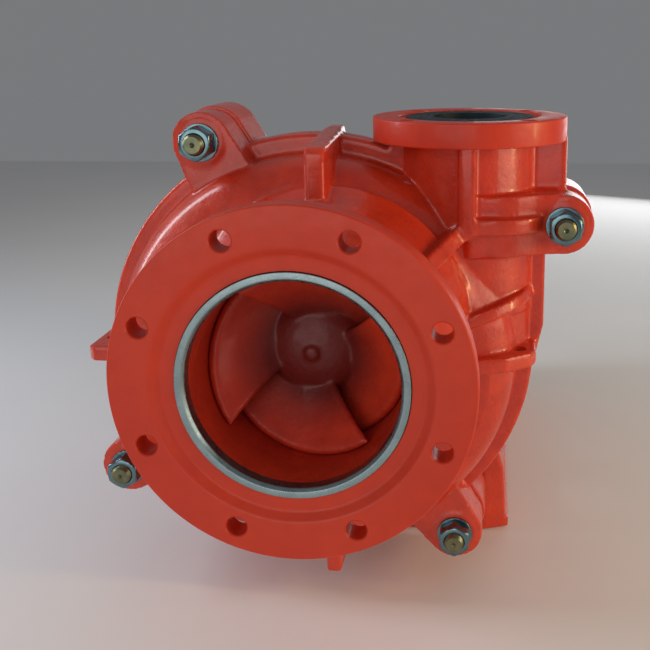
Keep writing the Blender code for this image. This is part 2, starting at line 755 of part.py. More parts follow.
def station_rings(stations, inset, steps):
    """Rings of points for a loft through the stations, moved in by an inset."""
    rings = []
    for depth, radius, share in stations:
        centre = (CASING_CENTRE_X * share, CASING_CENTRE_Z * share)
        ring = []
        for index in range(steps):
            turn = math.tau * index / steps
            ring.append(Vector((centre[0] + (radius - inset) * math.cos(turn), depth,
                                centre[1] + (radius - inset) * math.sin(turn))))
        rings.append(ring)
    return rings


def cover_ribs():
    """Rib lugs of the cover at the top, bottom, left and right of the drum."""
    front = DRUM_FRONT + RIB_FRONT_PROUD
    half = RIB_THICKNESS / 2
    drum_top = CASING_CENTRE_Z + CASING_RADIUS
    drum_bottom = CASING_CENTRE_Z - CASING_RADIUS
    inside = RIB_ROOT_DEPTH
    slope = 0.6 * TOP_RIB_SLOPE
    past_top = past_split(-1, 5)
    past_bottom = past_split(-1, 6)
    top = [(front - TOP_RIB_SLOPE, drum_top - inside), (front, drum_top - DISH_SETBACK),
           (front + slope, drum_top + TOP_RIB_REACH),
           (past_top, drum_top + TOP_RIB_REACH * 1.25), (past_top, drum_top - inside)]
    bottom_tip = drum_bottom - BOTTOM_RIB_REACH
    bottom = [(front, drum_bottom + inside), (front, bottom_tip + EDGE),
              (front + EDGE, bottom_tip), (past_bottom, bottom_tip),
              (past_bottom, drum_bottom + inside)]
    ribs = []
    for outline in (top, bottom):
        ribs.append(extruded("rib", outline, TOP_RIB_X - half, TOP_RIB_X + half, ACROSS))
    corner = RIB_CORNER
    for order, (edge, toward) in enumerate(side_rib_edges()):
        past = past_split(-1, 7 + order)
        root = edge + toward * (SIDE_RIB_REACH_LEFT + inside)
        outline = [(root, front), (edge + toward * corner, front), (edge, front + corner),
                   (edge, past), (root, past)]
        ribs.append(extruded("side_rib", outline, SIDE_RIB_HEIGHT - half,
                             SIDE_RIB_HEIGHT + half, UPWARD))
    return ribs


def side_rib_edges():
    """Outer edge of the left and of the right rib lug, with the sign towards the drum."""
    left = CASING_CENTRE_X - CASING_RADIUS - SIDE_RIB_REACH_LEFT
    right = CASING_CENTRE_X + CASING_RADIUS + SIDE_RIB_REACH_RIGHT
    return ((left, 1), (right, -1))


def side_rib_holes():
    """Upright holes through the left and right rib lugs."""
    cutters = []
    depth = (DRUM_FRONT + PARTING_DEPTH) / 2
    for edge, toward in side_rib_edges():
        cutters.append(rod("lifting_hole", SIDE_RIB_HEIGHT - RIB_THICKNESS,
                           SIDE_RIB_HEIGHT + RIB_THICKNESS, SIDE_RIB_HOLE,
                           centre=(edge + toward * 2 * SIDE_RIB_HOLE, depth, 0), axis=UPWARD))
    return cutters


def neck_ribs():
    """Upright, level and slanting ribs on the neck's front, and the ledge round it."""
    back = PARTING_DEPTH - RIM_THICKNESS / 2
    front = PARTING_DEPTH - NECK_RADIUS - NECK_RIB_PROUD
    half = NECK_RIB_THICKNESS / 2
    underside = DISCHARGE_TOP - DISCHARGE_FLANGE_THICKNESS
    upright = block("upright_rib", (NECK_X - half, NECK_X + half), (front, back),
                    (SIDE_STUD_HEIGHT - half, underside + SINK))
    stud_x = NECK_X + SIDE_STUD_OUT
    level_front = (front + LUG_FRONT) / 2
    level = block("level_rib", (NECK_X - half * 0.5, stud_x - LUG_BOSS_RADIUS + SINK),
                  (level_front, back + FINE_EDGE), (SIDE_STUD_HEIGHT - half * 0.96,
                                                SIDE_STUD_HEIGHT + half * 0.96))
    far = math.hypot(NECK_X, SIDE_STUD_HEIGHT)
    near = THROAT_NOSE_RADIUS + SUCTION_NECK_WALL * 0.4
    angle = math.atan2(SIDE_STUD_HEIGHT, NECK_X)
    slant = block("slanting_rib", (near, far + EDGE), (front + FINE_EDGE, back - 1.5 * EDGE),
                  (-half * 0.92, half * 0.92))
    slant.data.transform(Matrix.Rotation(-angle, 4, "Y"))
    ledge = rod("ledge", -LEDGE_THICKNESS / 2, LEDGE_THICKNESS / 2, NECK_RADIUS + LEDGE_PROUD,
                ROUND_STEPS, axis=UPWARD)
    ledge.data.transform(Matrix.Rotation(math.radians(-LEDGE_TILT), 4, "Y"))
    ledge.data.transform(Matrix.Translation((NECK_X, PARTING_DEPTH, LEDGE_HEIGHT)))
    return [upright, level, slant, ledge]


def liner_outer(clearance):
    """Outside of the volute: drum and neck, grown by a clearance."""
    radius = LINER_OUTER_RADIUS + clearance
    half = LINER_HALF_WIDTH + clearance
    bevel = LINER_CORNER * 0.5
    drum = turned("liner_drum", [
        (PARTING_DEPTH - half, 0.0), (PARTING_DEPTH - half, radius - bevel),
        (PARTING_DEPTH - half + bevel, radius), (PARTING_DEPTH + half - bevel, radius),
        (PARTING_DEPTH + half, radius - bevel), (PARTING_DEPTH + half, 0.0)],
        LARGE_STEPS, (CASING_CENTRE_X, 0, CASING_CENTRE_Z))
    neck_top = DISCHARGE_TOP - JOINT_RING_THICKNESS - 2 * SEAT_GAP + clearance
    neck = rod("liner_neck", CASING_CENTRE_Z, neck_top, NECK_BORE - SEAT_GAP * 2 + clearance,
               ROUND_STEPS, centre=(NECK_X, PARTING_DEPTH, 0), axis=UPWARD)
    return fused(drum, neck)


def cover_plate():
    """Front casing half: suction flange, dished shell, rim, lugs, ribs and half the neck."""
    side = -1
    stations = suction_flange_stations() + cover_stations()
    stations.append((past_split(side, 9), CASING_RADIUS, 1.0))
    shell = lofted("cover_plate", station_rings(stations, 0.0, LARGE_STEPS))
    fused(shell, rim_and_neck(side), *lugs(side, COVER_LUG_DEPTH))
    fused(shell, *cover_ribs())
    fused(shell, *neck_ribs())
    for place in stud_places().values():
        boss = rod("lug_boss", LUG_FRONT - LUG_BOSS_HEIGHT, LUG_FRONT + PAST, LUG_BOSS_RADIUS,
                   SMALL_STEPS + 4, centre=(place[0], 0, place[1]))
        fused(shell, boss)
    cut(shell, trim(side))
    seat_front = THROAT_FLANGE_FRONT - THROAT_SHOULDER
    hollow_run = [station for station in cover_stations() if station[0] < seat_front]
    last = hollow_run[-1]
    hollow_run.append((seat_front, last[1], last[2]))
    first = hollow_run[0]
    hollow_run[0] = (first[0], THROAT_NOSE_RADIUS + SINK + SHELL_WALL, 0.0)
    hollow = lofted("hollow", station_rings(hollow_run, SHELL_WALL, ROUND_STEPS))
    nose = THROAT_NOSE_RADIUS + SEAT_GAP
    cutters = [liner_outer(SEAT_GAP), hollow]
    cutters.append(rod("nose_bore", -PAST, seat_front - PAST, nose, LARGE_STEPS))
    cutters.append(rod("bush_opening", seat_front - 2 * PAST, THROAT_END,
                       THROAT_FLANGE_RADIUS - THROAT_SHOULDER, LARGE_STEPS))
    cutters.append(rod("bush_seat", THROAT_FLANGE_FRONT - SEAT_GAP, THROAT_END + SINK,
                       THROAT_FLANGE_RADIUS + SEAT_GAP, LARGE_STEPS))
    cutters.append(rod("face_recess", -2 * PAST, SUCTION_RECESS_DEPTH, SUCTION_RECESS_RADIUS,
                       LARGE_STEPS))
    for index in range(SUCTION_BOLT_COUNT):
        turn = math.tau * (index + 0.5) / SUCTION_BOLT_COUNT
        centre = (SUCTION_BOLT_CIRCLE * math.cos(turn), 0, SUCTION_BOLT_CIRCLE * math.sin(turn))
        cutters.append(rod("suction_hole", -PAST, SUCTION_FLANGE_THICKNESS + 1.5 * SINK,
                           SUCTION_BOLT_HOLE, SMALL_STEPS + 2, centre=centre))
    cutters += neck_cutters(side)
    cutters += side_rib_holes()
    cutters += stud_holes(LUG_FRONT - 2 * PAST, PARTING_DEPTH + PAST)
    return cut(shell, *cutters)


def frame_ribs():
    """Rib lugs of the frame plate, with the slanting web above the left one."""
    back = PARTING_DEPTH + FRAME_RIB_DEPTH
    half = RIB_THICKNESS / 2
    drum_top = CASING_CENTRE_Z + CASING_RADIUS
    drum_bottom = CASING_CENTRE_Z - CASING_RADIUS
    inside = RIB_ROOT_DEPTH
    corner = RIB_CORNER
    ribs = []
    for order, (root, tip) in enumerate(((drum_top - inside, drum_top + FRAME_RIB_REACH),
                                         (drum_bottom + inside, drum_bottom - BOTTOM_RIB_REACH))):
        toward = 1 if tip > root else -1
        past = past_split(1, 5 + order)
        outline = [(past, root), (past, tip), (back - corner, tip),
                   (back, tip - toward * corner), (back, root)]
        ribs.append(extruded("rib", outline, TOP_RIB_X - half, TOP_RIB_X + half, ACROSS))
    for order, (edge, toward) in enumerate(side_rib_edges()):
        past = past_split(1, 7 + order)
        root = edge + toward * (SIDE_RIB_REACH_LEFT + inside)
        outline = [(root, past), (edge, past), (edge, back - corner),
                   (edge + toward * corner, back), (root, back)]
        ribs.append(extruded("side_rib", outline, SIDE_RIB_HEIGHT - half,
                             SIDE_RIB_HEIGHT + half, UPWARD))
    left_edge = side_rib_edges()[0][0] + EDGE
    web_top = SIDE_RIB_HEIGHT + LEFT_WEB_HEIGHT
    web = [(left_edge, SIDE_RIB_HEIGHT), (left_edge, SIDE_RIB_HEIGHT + half),
           (left_edge + LEFT_WEB_RUN, web_top), (left_edge + LEFT_WEB_WIDTH, web_top),
           (left_edge + LEFT_WEB_WIDTH, SIDE_RIB_HEIGHT)]
    ribs.append(extruded("left_web", web, PARTING_DEPTH + RIM_THICKNESS / 4,
                         PARTING_DEPTH + RIM_THICKNESS * 0.6))
    return ribs


def frame_plate():
    """Rear casing half: rim, lugs, back wall and the boss that the base bolts to."""
    side = 1
    profile = [(-2 * SPLIT_OVERRUN, 0.0), (-2 * SPLIT_OVERRUN, CASING_RADIUS)]
    for turn in (90, 60, 30, 0):
        angle = math.radians(turn)
        profile.append((CASING_HALF_WIDTH - SHOULDER_RADIUS * (1 - math.cos(angle)),
                        CASING_RADIUS - SHOULDER_RADIUS * (1 - math.sin(angle))))
    profile.append((CASING_HALF_WIDTH, 0.0))
    shell = drum_cylinder("frame_plate", side, profile)
    boss = rod("frame_boss", BOSS_FACE - FRAME_BOSS_PROUD - SINK, BOSS_FACE,
               FRAME_BOSS_RADIUS, LARGE_STEPS, chamfer=EDGE)
    fused(shell, boss, rim_and_neck(side), *lugs(side, FRAME_LUG_DEPTH))
    fused(shell, *frame_ribs())
    cut(shell, trim(side))
    cutters = [liner_outer(SEAT_GAP)]
    cutters.append(rod("box_bore", BACK_WALL - PAST, BOSS_FACE + PAST, BOX_RADIUS + SEAT_GAP,
                       ROUND_STEPS))
    for centre in frame_bolt_places():
        cutters.append(rod("tapped_hole", BOSS_FACE - FRAME_BOLT_GRIP - EDGE, BOSS_FACE + PAST,
                           FRAME_BOLT_RADIUS + SEAT_GAP, centre=centre))
    cutters += neck_cutters(side)
    cutters += stud_holes(PARTING_DEPTH - PAST, LUG_BACK + 2 * PAST)
    return cut(shell, *cutters)


def volute_liner():
    """One-piece wear liner: round volute and neck, open at the eye, the back and the top."""
    body = liner_outer(0.0)
    body.name = "volute_liner"
    bevel = LINER_CORNER
    half = CAVITY_HALF_WIDTH
    cavity = turned("cavity", [
        (PARTING_DEPTH - half, 0.0), (PARTING_DEPTH - half, CAVITY_RADIUS - bevel),
        (PARTING_DEPTH - half + bevel, CAVITY_RADIUS),
        (PARTING_DEPTH + half - bevel, CAVITY_RADIUS),
        (PARTING_DEPTH + half, CAVITY_RADIUS - bevel), (PARTING_DEPTH + half, 0.0)],
        LARGE_STEPS, (CASING_CENTRE_X, 0, CASING_CENTRE_Z))
    bore = rod("discharge_bore", CASING_CENTRE_Z, DISCHARGE_TOP, DISCHARGE_BORE, ROUND_STEPS,
               centre=(NECK_X, PARTING_DEPTH, 0), axis=UPWARD)
    openings = rod("side_openings", PARTING_DEPTH - INNER_HALF_WIDTH - PAST,
                   PARTING_DEPTH + INNER_HALF_WIDTH + PAST, THROAT_FLANGE_RADIUS + SEAT_GAP,
                   LARGE_STEPS)
    return cut(body, cavity, bore, openings)


def throat_bush():
    """Wear bush of the suction: its bare nose shows inside the flange."""
    nose = THROAT_NOSE_RADIUS
    flare = THROAT_FLARE
    nose_end = SUCTION_FLANGE_THICKNESS + THROAT_NOSE_RUN
    profile = [
        (THROAT_SETBACK, THROAT_BORE + FINE_EDGE), (THROAT_SETBACK, nose - FINE_EDGE),
        (THROAT_SETBACK + FINE_EDGE, nose), (nose_end, nose),
        (nose_end + SINK, nose - FINE_EDGE / 2),
        (THROAT_FLANGE_FRONT - THROAT_CONE_RUN, nose + THROAT_CONE_RISE * 0.2),
        (THROAT_FLANGE_FRONT - THROAT_CONE_RUN * 0.28, nose + THROAT_CONE_RISE * 0.6),
        (THROAT_FLANGE_FRONT, nose + THROAT_CONE_RISE),
        (THROAT_FLANGE_FRONT, THROAT_FLANGE_RADIUS),
        (THROAT_END, THROAT_FLANGE_RADIUS), (THROAT_END, THROAT_BORE + flare)]
    for turn in (25, 50, 75, 90):
        angle = math.radians(turn)
        profile.append((THROAT_END - flare * (1 - math.cos(angle)) * 0.8,
                        THROAT_BORE + flare * (1 - math.sin(angle))))
    profile.append((THROAT_SETBACK + FINE_EDGE, THROAT_BORE))
    return turned("throat_bush", profile, LARGE_STEPS)


def frame_plate_insert():
    """Wear plate behind the impeller, with a rim that seats in the volute liner."""
    bore = SLEEVE_RADIUS + INSERT_BORE_GAP
    disc_back = BOX_FLANGE_FRONT - SEAT_GAP
    profile = [
        (INSERT_FRONT, bore), (INSERT_FRONT, THROAT_FLANGE_RADIUS - EDGE),
        (INSERT_FRONT + EDGE, THROAT_FLANGE_RADIUS),
        (BACK_WALL - SEAT_GAP, THROAT_FLANGE_RADIUS),
        (BACK_WALL - SEAT_GAP, BOX_FLANGE_RADIUS + SINK),
        (disc_back, BOX_FLANGE_RADIUS + SINK), (disc_back, bore)]
    return turned("frame_plate_insert", profile, LARGE_STEPS)


def discharge_joint_ring():
    """Rubber joint ring that fills the discharge flange's seat."""
    seat = DISCHARGE_TOP - JOINT_RING_THICKNESS
    return tube("discharge_joint_ring", seat, DISCHARGE_TOP, DISCHARGE_BORE,
                JOINT_RING_RADIUS, ROUND_STEPS, FINE_EDGE,
                centre=(NECK_X, PARTING_DEPTH, 0), axis=UPWARD)


def vane_turn(depth):
    """Degrees that a vane has turned back from its tip at a depth along its outer edge."""
    run = depth - VANE_TIP_DEPTH
    if run <= VANE_STEADY_RUN:
        return 360 * run / VANE_LEAD
    fade = IMPELLER_FRONT - VANE_TIP_DEPTH - VANE_STEADY_RUN
    share = min((run - VANE_STEADY_RUN) / fade, 1.0)
    slow = 0.12
    swept = fade * (share - (1 - slow) * share * share / 2)
    return 360 * (VANE_STEADY_RUN + swept) / VANE_LEAD


def vane_paths():
    """Meridional (depth, radius) points of a vane's inner and outer edges, and its turn."""
    back_face = IMPELLER_BACK - BACK_SHROUD_THICKNESS
    mouth = IMPELLER_FRONT + SHROUD_THICKNESS * 0.6
    eye_end = IMPELLER_FRONT - VANE_EYE_CORNER
    foot = eye_end + VANE_FOOT_LAG
    rim = IMPELLER_RADIUS - VANE_RIM_INSET
    rows = []
    count = 12
    for index in range(count + 1):
        share = index / count
        outer_depth = mix(VANE_TIP_DEPTH, eye_end, share)
        inner_start = VANE_TIP_DEPTH + VANE_INNER_LAG
        inner_depth = mix(inner_start, foot, share)
        inner_radius = hub_radius(inner_depth) - VANE_ROOT_SINK
        rows.append(((inner_depth, inner_radius), (outer_depth, VANE_TIP_RADIUS),
                     vane_turn(outer_depth)))
    last_turn = rows[-1][2]
    bend = 3
    for index in range(1, bend + 1):
        share = index / bend
        angle = math.radians(90 * share)
        outer = (mix(eye_end, mouth, math.sin(angle)),
                 mix(VANE_TIP_RADIUS, rim, 1 - math.cos(angle)))
        inner_depth = mix(foot, back_face + SINK, math.sin(angle))
        inner_radius = mix(hub_radius(foot) - VANE_ROOT_SINK, rim, 1 - math.cos(angle))
        rows.append(((inner_depth, inner_radius), outer, last_turn + 34 * share))
    return rows


def hub_radius(depth):
    """Outer radius of the impeller's hub at a depth."""
    nose = IMPELLER_NOSE_DEPTH
    run = depth - nose
    if run <= 0:
        return NOSE_TIP_RADIUS
    if run < NOSE_ROUNDING:
        bulge = math.sqrt(1 - (1 - run / NOSE_ROUNDING) ** 2)
        return max(NOSE_TIP_RADIUS, IMPELLER_HUB_RADIUS * bulge)
    flare = eased((run - NOSE_ROUNDING) / (IMPELLER_FRONT - nose - NOSE_ROUNDING))
    return IMPELLER_HUB_RADIUS + HUB_FLARE * flare


def vane(index):
    """One screw vane: a skin swept from the hub to its outer edge, thickened both ways."""
    span = 2
    grid = []
    for inner, outer, turn in vane_paths():
        row = []
        for step in range(span + 1):
            share = step / span
            depth = mix(inner[0], outer[0], share)
            radius = mix(inner[1], outer[1], share)
            lean = 10 * (1 - share)
            angle = math.radians(VANE_PHASE + 360 * index / VANE_COUNT - turn - lean)
            row.append(Vector((radius * math.cos(angle), depth, radius * math.sin(angle))))
        grid.append(row)
    shape = bmesh.new()
    skins = []
    for facing in (-1, 1):
        skin = []
        for number, row in enumerate(grid):
            before = grid[max(number - 1, 0)]
            after = grid[min(number + 1, len(grid) - 1)]
            line = []
            for step, point in enumerate(row):
                along = after[step] - before[step]
                outward = row[min(step + 1, span)] - row[max(step - 1, 0)]
                normal = along.cross(outward).normalized()
                edge = 0.45 if number == 0 else 1.0
                offset = normal * (facing * VANE_THICKNESS / 2 * edge)
                line.append(shape.verts.new(point + offset))
            skin.append(line)
        skins.append(skin)
    low, high = skins
    last = len(grid) - 1
    for number in range(last):
        for step in range(span):
            for skin in skins:
                shape.faces.new((skin[number][step], skin[number + 1][step],
                                 skin[number + 1][step + 1], skin[number][step + 1]))
        for step in (0, span):
            shape.faces.new((low[number][step], low[number + 1][step],
                             high[number + 1][step], high[number][step]))
    for number in (0, last):
        for step in range(span):
            shape.faces.new((low[number][step], low[number][step + 1],
                             high[number][step + 1], high[number][step]))
    return solid("vane", shape)


def impeller():
    """Closed impeller with screw vanes that reach out into the throat."""
    back_face = IMPELLER_BACK - BACK_SHROUD_THICKNESS
    bore_end = IMPELLER_BACK - THREAD_LENGTH - SINK
    profile = [(IMPELLER_NOSE_DEPTH, 0.0)]
    for turn in (25, 50, 72):
        angle = math.radians(turn)
        profile.append((IMPELLER_NOSE_DEPTH + NOSE_ROUNDING * (1 - math.cos(angle)),
                        IMPELLER_HUB_RADIUS * math.sin(angle)))
    for share in (0.0, 0.4, 0.75, 1.0):
        depth = mix(IMPELLER_NOSE_DEPTH + NOSE_ROUNDING, IMPELLER_FRONT, share)
        profile.append((depth, hub_radius(depth)))
    for share in (0.35, 0.7, 1.0):
        angle = math.radians(90 * share)
        profile.append((mix(IMPELLER_FRONT, back_face, math.sin(angle)),
                        mix(hub_radius(IMPELLER_FRONT), IMPELLER_RADIUS, 1 - math.cos(angle))))
    profile.append((IMPELLER_BACK, IMPELLER_RADIUS))
    profile.append((IMPELLER_BACK, THREAD_RADIUS + SEAT_GAP))
    profile.append((bore_end, THREAD_RADIUS + SEAT_GAP))
    profile.append((bore_end, 0.0))
    body = turned("impeller", profile, ROUND_STEPS)
    inner = VANE_TIP_RADIUS + SHROUD_EYE_GAP
    shroud = turned("front_shroud", [
        (IMPELLER_FRONT, inner + SINK), (IMPELLER_FRONT, IMPELLER_RADIUS),
        (IMPELLER_FRONT + SHROUD_THICKNESS, IMPELLER_RADIUS),
        (IMPELLER_FRONT + SHROUD_THICKNESS * 0.85, inner + SHROUD_EYE_GAP),
        (IMPELLER_FRONT + SHROUD_THICKNESS * 0.5, inner)], ROUND_STEPS)
    for index in range(VANE_COUNT):
        fused(body, vane(index))
    return fused(body, shroud)


def shaft():
    """Stepped shaft with the impeller's thread, the bearing seats and the keyed drive end."""
    edge = EDGE
    thread_start = SHAFT_SHOULDER - SEAT_GAP - THREAD_LENGTH
    front_journal = FRONT_RACE - FINE_EDGE
    rear_journal = REAR_RACE + RACE_WIDTH + FINE_EDGE
    profile = [
        (thread_start, 0.0), (thread_start, THREAD_RADIUS - edge),
        (thread_start + edge, THREAD_RADIUS), (SHAFT_SHOULDER, THREAD_RADIUS),
        (SHAFT_SHOULDER, SLEEVE_SEAT_RADIUS), (SLEEVE_END + SEAT_GAP, SLEEVE_SEAT_RADIUS),
        (SLEEVE_END + SEAT_GAP, SEAL_RADIUS_FRONT), (front_journal, SEAL_RADIUS_FRONT),
        (front_journal, JOURNAL_RADIUS), (FRONT_RACE + RACE_WIDTH + SEAT_GAP, JOURNAL_RADIUS),
        (FRONT_RACE + RACE_WIDTH + SEAT_GAP, SHAFT_MIDDLE_RADIUS),
        (REAR_RACE - SEAT_GAP, SHAFT_MIDDLE_RADIUS), (REAR_RACE - SEAT_GAP, JOURNAL_RADIUS),
        (rear_journal, JOURNAL_RADIUS), (rear_journal, SEAL_RADIUS_REAR),
        (DRIVE_START, SEAL_RADIUS_REAR), (DRIVE_START + edge, DRIVE_RADIUS),
        (SHAFT_END - edge, DRIVE_RADIUS), (SHAFT_END, DRIVE_RADIUS - edge), (SHAFT_END, 0.0)]
    body = turned("shaft", profile, ROUND_STEPS)
    half = KEY_WIDTH / 2 + SEAT_GAP
    start, end = key_limits()
    slot = block("keyway", (-half, half), (start - SEAT_GAP, end + SEAT_GAP),
                 (DRIVE_RADIUS - KEY_SINK - SEAT_GAP, DRIVE_RADIUS + PAST))
    centre_hole = rod("centre_hole", SHAFT_END - KEY_WIDTH, SHAFT_END + PAST,
                      WATER_PORT_RADIUS, SMALL_STEPS)
    return cut(body, slot, centre_hole)


def key_limits():
    """Depths of the drive key's two ends."""
    end = SHAFT_END - KEY_HEIGHT - FINE_EDGE
    return end - KEY_LENGTH, end


def shaft_key():
    """Rectangular key that stands out of the drive end."""
    start, end = key_limits()
    bottom = DRIVE_RADIUS - KEY_SINK
    half = KEY_WIDTH / 2
    return block("shaft_key", (-half, half), (start, end), (bottom, bottom + KEY_HEIGHT))


def stuffing_box():
    """Box that holds the packing, with a flange behind the insert and two ears for the gland."""
    neck_bore = SLEEVE_RADIUS + INSERT_BORE_GAP * 0.6
    profile = [
        (BOX_FLANGE_FRONT, neck_bore), (BOX_FLANGE_FRONT, BOX_FLANGE_RADIUS),
        (BOX_FLANGE_BACK, BOX_FLANGE_RADIUS), (BOX_FLANGE_BACK, BOX_RADIUS),
        (BOX_REAR_DEPTH, BOX_RADIUS), (BOX_REAR_DEPTH, BOX_BORE), (PACKING_START, BOX_BORE),
        (PACKING_START, neck_bore)]
    body = turned("stuffing_box", profile, ROUND_STEPS)
    ear_front = BOX_REAR_DEPTH - BOX_EAR_THICKNESS
    reach = GLAND_BOLT_OUT
    outline = arc((reach, 0), BOX_EAR_RADIUS, -90, 90, 8) + arc((-reach, 0), BOX_EAR_RADIUS,
                                                               90, 270, 8)
    ears = extruded("ears", outline, ear_front, BOX_REAR_DEPTH)
    clear = rod("ear_clear", ear_front - PAST, BOX_REAR_DEPTH + PAST, BOX_RADIUS - SINK,
                ROUND_STEPS)
    cut(ears, clear)
    fused(body, ears)
    for toward in (-1, 1):
        cut(body, rod("gland_bolt_hole", ear_front - PAST, BOX_REAR_DEPTH + PAST,
                      GLAND_BOLT_RADIUS + SEAT_GAP, centre=(toward * reach, 0, 0)))
    port_depth = lantern_start() + LANTERN_WIDTH / 2
    port = rod("water_port", SLEEVE_RADIUS + PACKING_SIZE / 2, BOX_RADIUS + PAST, WATER_PORT_RADIUS,
               centre=(0, port_depth, 0), axis=UPWARD)
    return cut(body, port)


def lantern_start():
    """Depth at which the lantern ring starts, behind two packing rings."""
    return PACKING_START + SEAT_GAP + 2 * (PACKING_SIZE + SEAT_GAP)


def packing_starts():
    """Depth at which each packing ring starts: two before the lantern ring, one behind it."""
    pitch = PACKING_SIZE + SEAT_GAP
    first = PACKING_START + SEAT_GAP
    return [first, first + pitch, lantern_start() + LANTERN_WIDTH + SEAT_GAP]


def packing_ring(number, start):
    """One square ring of packing."""
    return tube("packing_ring_%d" % number, start, start + PACKING_SIZE, PACKING_BORE,
                PACKING_OUTER, ROUND_STEPS)


def lantern_ring():
    """Grooved bronze ring that spreads the gland water."""
    start = lantern_start()
    end = start + LANTERN_WIDTH
    groove = LANTERN_WIDTH / 4
    middle = (start + end) / 2
    profile = [
        (start, PACKING_BORE), (start, PACKING_OUTER), (middle - groove, PACKING_OUTER),
        (middle - groove, PACKING_OUTER - groove), (middle + groove, PACKING_OUTER - groove),
        (middle + groove, PACKING_OUTER), (end, PACKING_OUTER), (end, PACKING_BORE)]
    return turned("lantern_ring", profile, ROUND_STEPS)


def gland_plate_start():
    """Depth of the gland plate's front face, clear of the stuffing box."""
    return BOX_REAR_DEPTH + GLAND_PLATE_GAP


def gland_half(name, toward):
    """One half of the split gland: nose in the box, plate behind it, and an ear for its bolt."""
    nose_start = packing_starts()[-1] + PACKING_SIZE + SEAT_GAP
    start = gland_plate_start()
    end = start + GLAND_PLATE_THICKNESS
    bore = SLEEVE_RADIUS + GLAND_CLEARANCE
    plate_radius = BOX_RADIUS - EDGE
    body = turned(name, [
        (nose_start, bore), (nose_start, PACKING_OUTER - FINE_EDGE), (start, PACKING_OUTER - FINE_EDGE),
        (start, plate_radius), (end, plate_radius), (end, bore)], ROUND_STEPS)
    outline = arc((GLAND_BOLT_OUT, 0), BOX_EAR_RADIUS, -90, 90, 8)
    outline += [(SLEEVE_RADIUS + 3 * SINK, BOX_EAR_RADIUS), (SLEEVE_RADIUS + 3 * SINK, -BOX_EAR_RADIUS)]
    outline = [(x * toward, height) for x, height in outline]
    fused(body, extruded("ear", outline, start, end))
    hole = rod("ear_hole", start - PAST, end + PAST, GLAND_BOLT_RADIUS + STUD_HOLE_CLEARANCE,
               centre=(toward * GLAND_BOLT_OUT, 0, 0))
    split = HALF_SPLIT * toward
    far = -FAR * toward
    other = block("other_half", (min(split, far), max(split, far)),
                  (nose_start - PAST, end + PAST), (-FAR, FAR))
    return cut(body, hole, other)


def gland_stud(name, toward):
    """Stud screwed into the stuffing box's ear."""
    start = BOX_REAR_DEPTH - BOX_EAR_THICKNESS + FINE_EDGE
    return rod(name, start, start + GLAND_BOLT_LENGTH, GLAND_BOLT_RADIUS, 14, FINE_EDGE,
               centre=(toward * GLAND_BOLT_OUT, 0, 0))


def gland_nut(name, toward):
    """Nut that draws the gland up."""
    start = gland_plate_start() + GLAND_PLATE_THICKNESS + SEAT_GAP
    return hexagon_nut(name, start, start + GLAND_NUT_HEIGHT, GLAND_NUT_ACROSS_FLATS,
                   GLAND_BOLT_RADIUS + SEAT_GAP, (toward * GLAND_BOLT_OUT, 0, 0))


def clamp_places():
    """(x, depth) of the bolts that clamp the bearing housing to the base."""
    places = []
    for depth in (HOUSING_START + CLAMP_BOLT_INSET, HOUSING_END - CLAMP_BOLT_INSET):
        for x in (-CLAMP_BOLT_OUT, CLAMP_BOLT_OUT):
            places.append((x, depth))
    return places


def bearing_housing():
    """Turned housing with clamping ears, ribs and the lug of the adjusting screw."""
    seat = RACE_RADIUS + SEAT_GAP
    front_step = FRONT_RACE + RACE_WIDTH + SEAT_GAP
    rear_step = REAR_RACE - SEAT_GAP
    swell = HOUSING_RADIUS * 0.93
    collar = HOUSING_COLLAR
    profile = [
        (HOUSING_START, seat), (HOUSING_START, HOUSING_RADIUS),
        (HOUSING_START + collar, HOUSING_RADIUS), (HOUSING_START + collar + PAST, swell),
        (HOUSING_END - collar - PAST, swell), (HOUSING_END - collar, HOUSING_RADIUS),
        (HOUSING_END, HOUSING_RADIUS), (HOUSING_END, seat), (rear_step, seat),
        (rear_step, HOUSING_BORE), (front_step, HOUSING_BORE), (front_step, seat)]
    body = turned("bearing_housing", profile, ROUND_STEPS)
    ear_low = RAIL_HEIGHT + SEAT_GAP
    ear_high = ear_low + EAR_THICKNESS
    for toward in (-1, 1):
        limits = sorted((toward * HOUSING_RADIUS * 0.72, toward * EAR_HALF_WIDTH))
        ear = block("ear", limits, (HOUSING_START + EAR_INSET, HOUSING_END - EAR_INSET),
                    (ear_low, ear_high))
        fused(body, ear)
        inset = CLAMP_BOLT_INSET + GUSSET_SPACING
        for depth in (HOUSING_START + inset, HOUSING_END - inset):
            rib_outline = [(toward * HOUSING_RADIUS * 0.72, ear_high - SINK),
                           (toward * (EAR_HALF_WIDTH - LUG_SETBACK), ear_high - SINK),
                           (toward * HOUSING_RADIUS * 0.72, HOUSING_RADIUS * 0.45)]
            fused(body, extruded("gusset", rib_outline, depth - GUSSET_THICKNESS / 2,
                                 depth + GUSSET_THICKNESS / 2))
    lug_half = ADJUST_LUG_HALF_WIDTH
    lug_end = HOUSING_END - LUG_SETBACK
    lug = block("lug", (-lug_half, lug_half), (lug_end - ADJUST_LUG_THICKNESS, lug_end),
                (-ADJUST_DROP - lug_half, -HOUSING_RADIUS * 0.85))
    fused(body, lug)
    screw_hole = rod("screw_hole", lug_end - ADJUST_LUG_THICKNESS - PAST, lug_end + PAST,
                     ADJUST_RADIUS + SEAT_GAP, centre=(0, 0, -ADJUST_DROP))
    cutters = [screw_hole]
    for x, depth in clamp_places():
        half = CLAMP_BOLT_RADIUS + FINE_EDGE
        slide = ADJUST_TRAVEL + SLOT_SPARE
        outline = arc((x, depth + slide), half, 0, 180, 8) + arc((x, depth - slide), half,
                                                                180, 360, 8)
        cutters.append(extruded("slot", outline, ear_low - PAST, ear_high + PAST, UPWARD))
    return cut(body, *cutters)


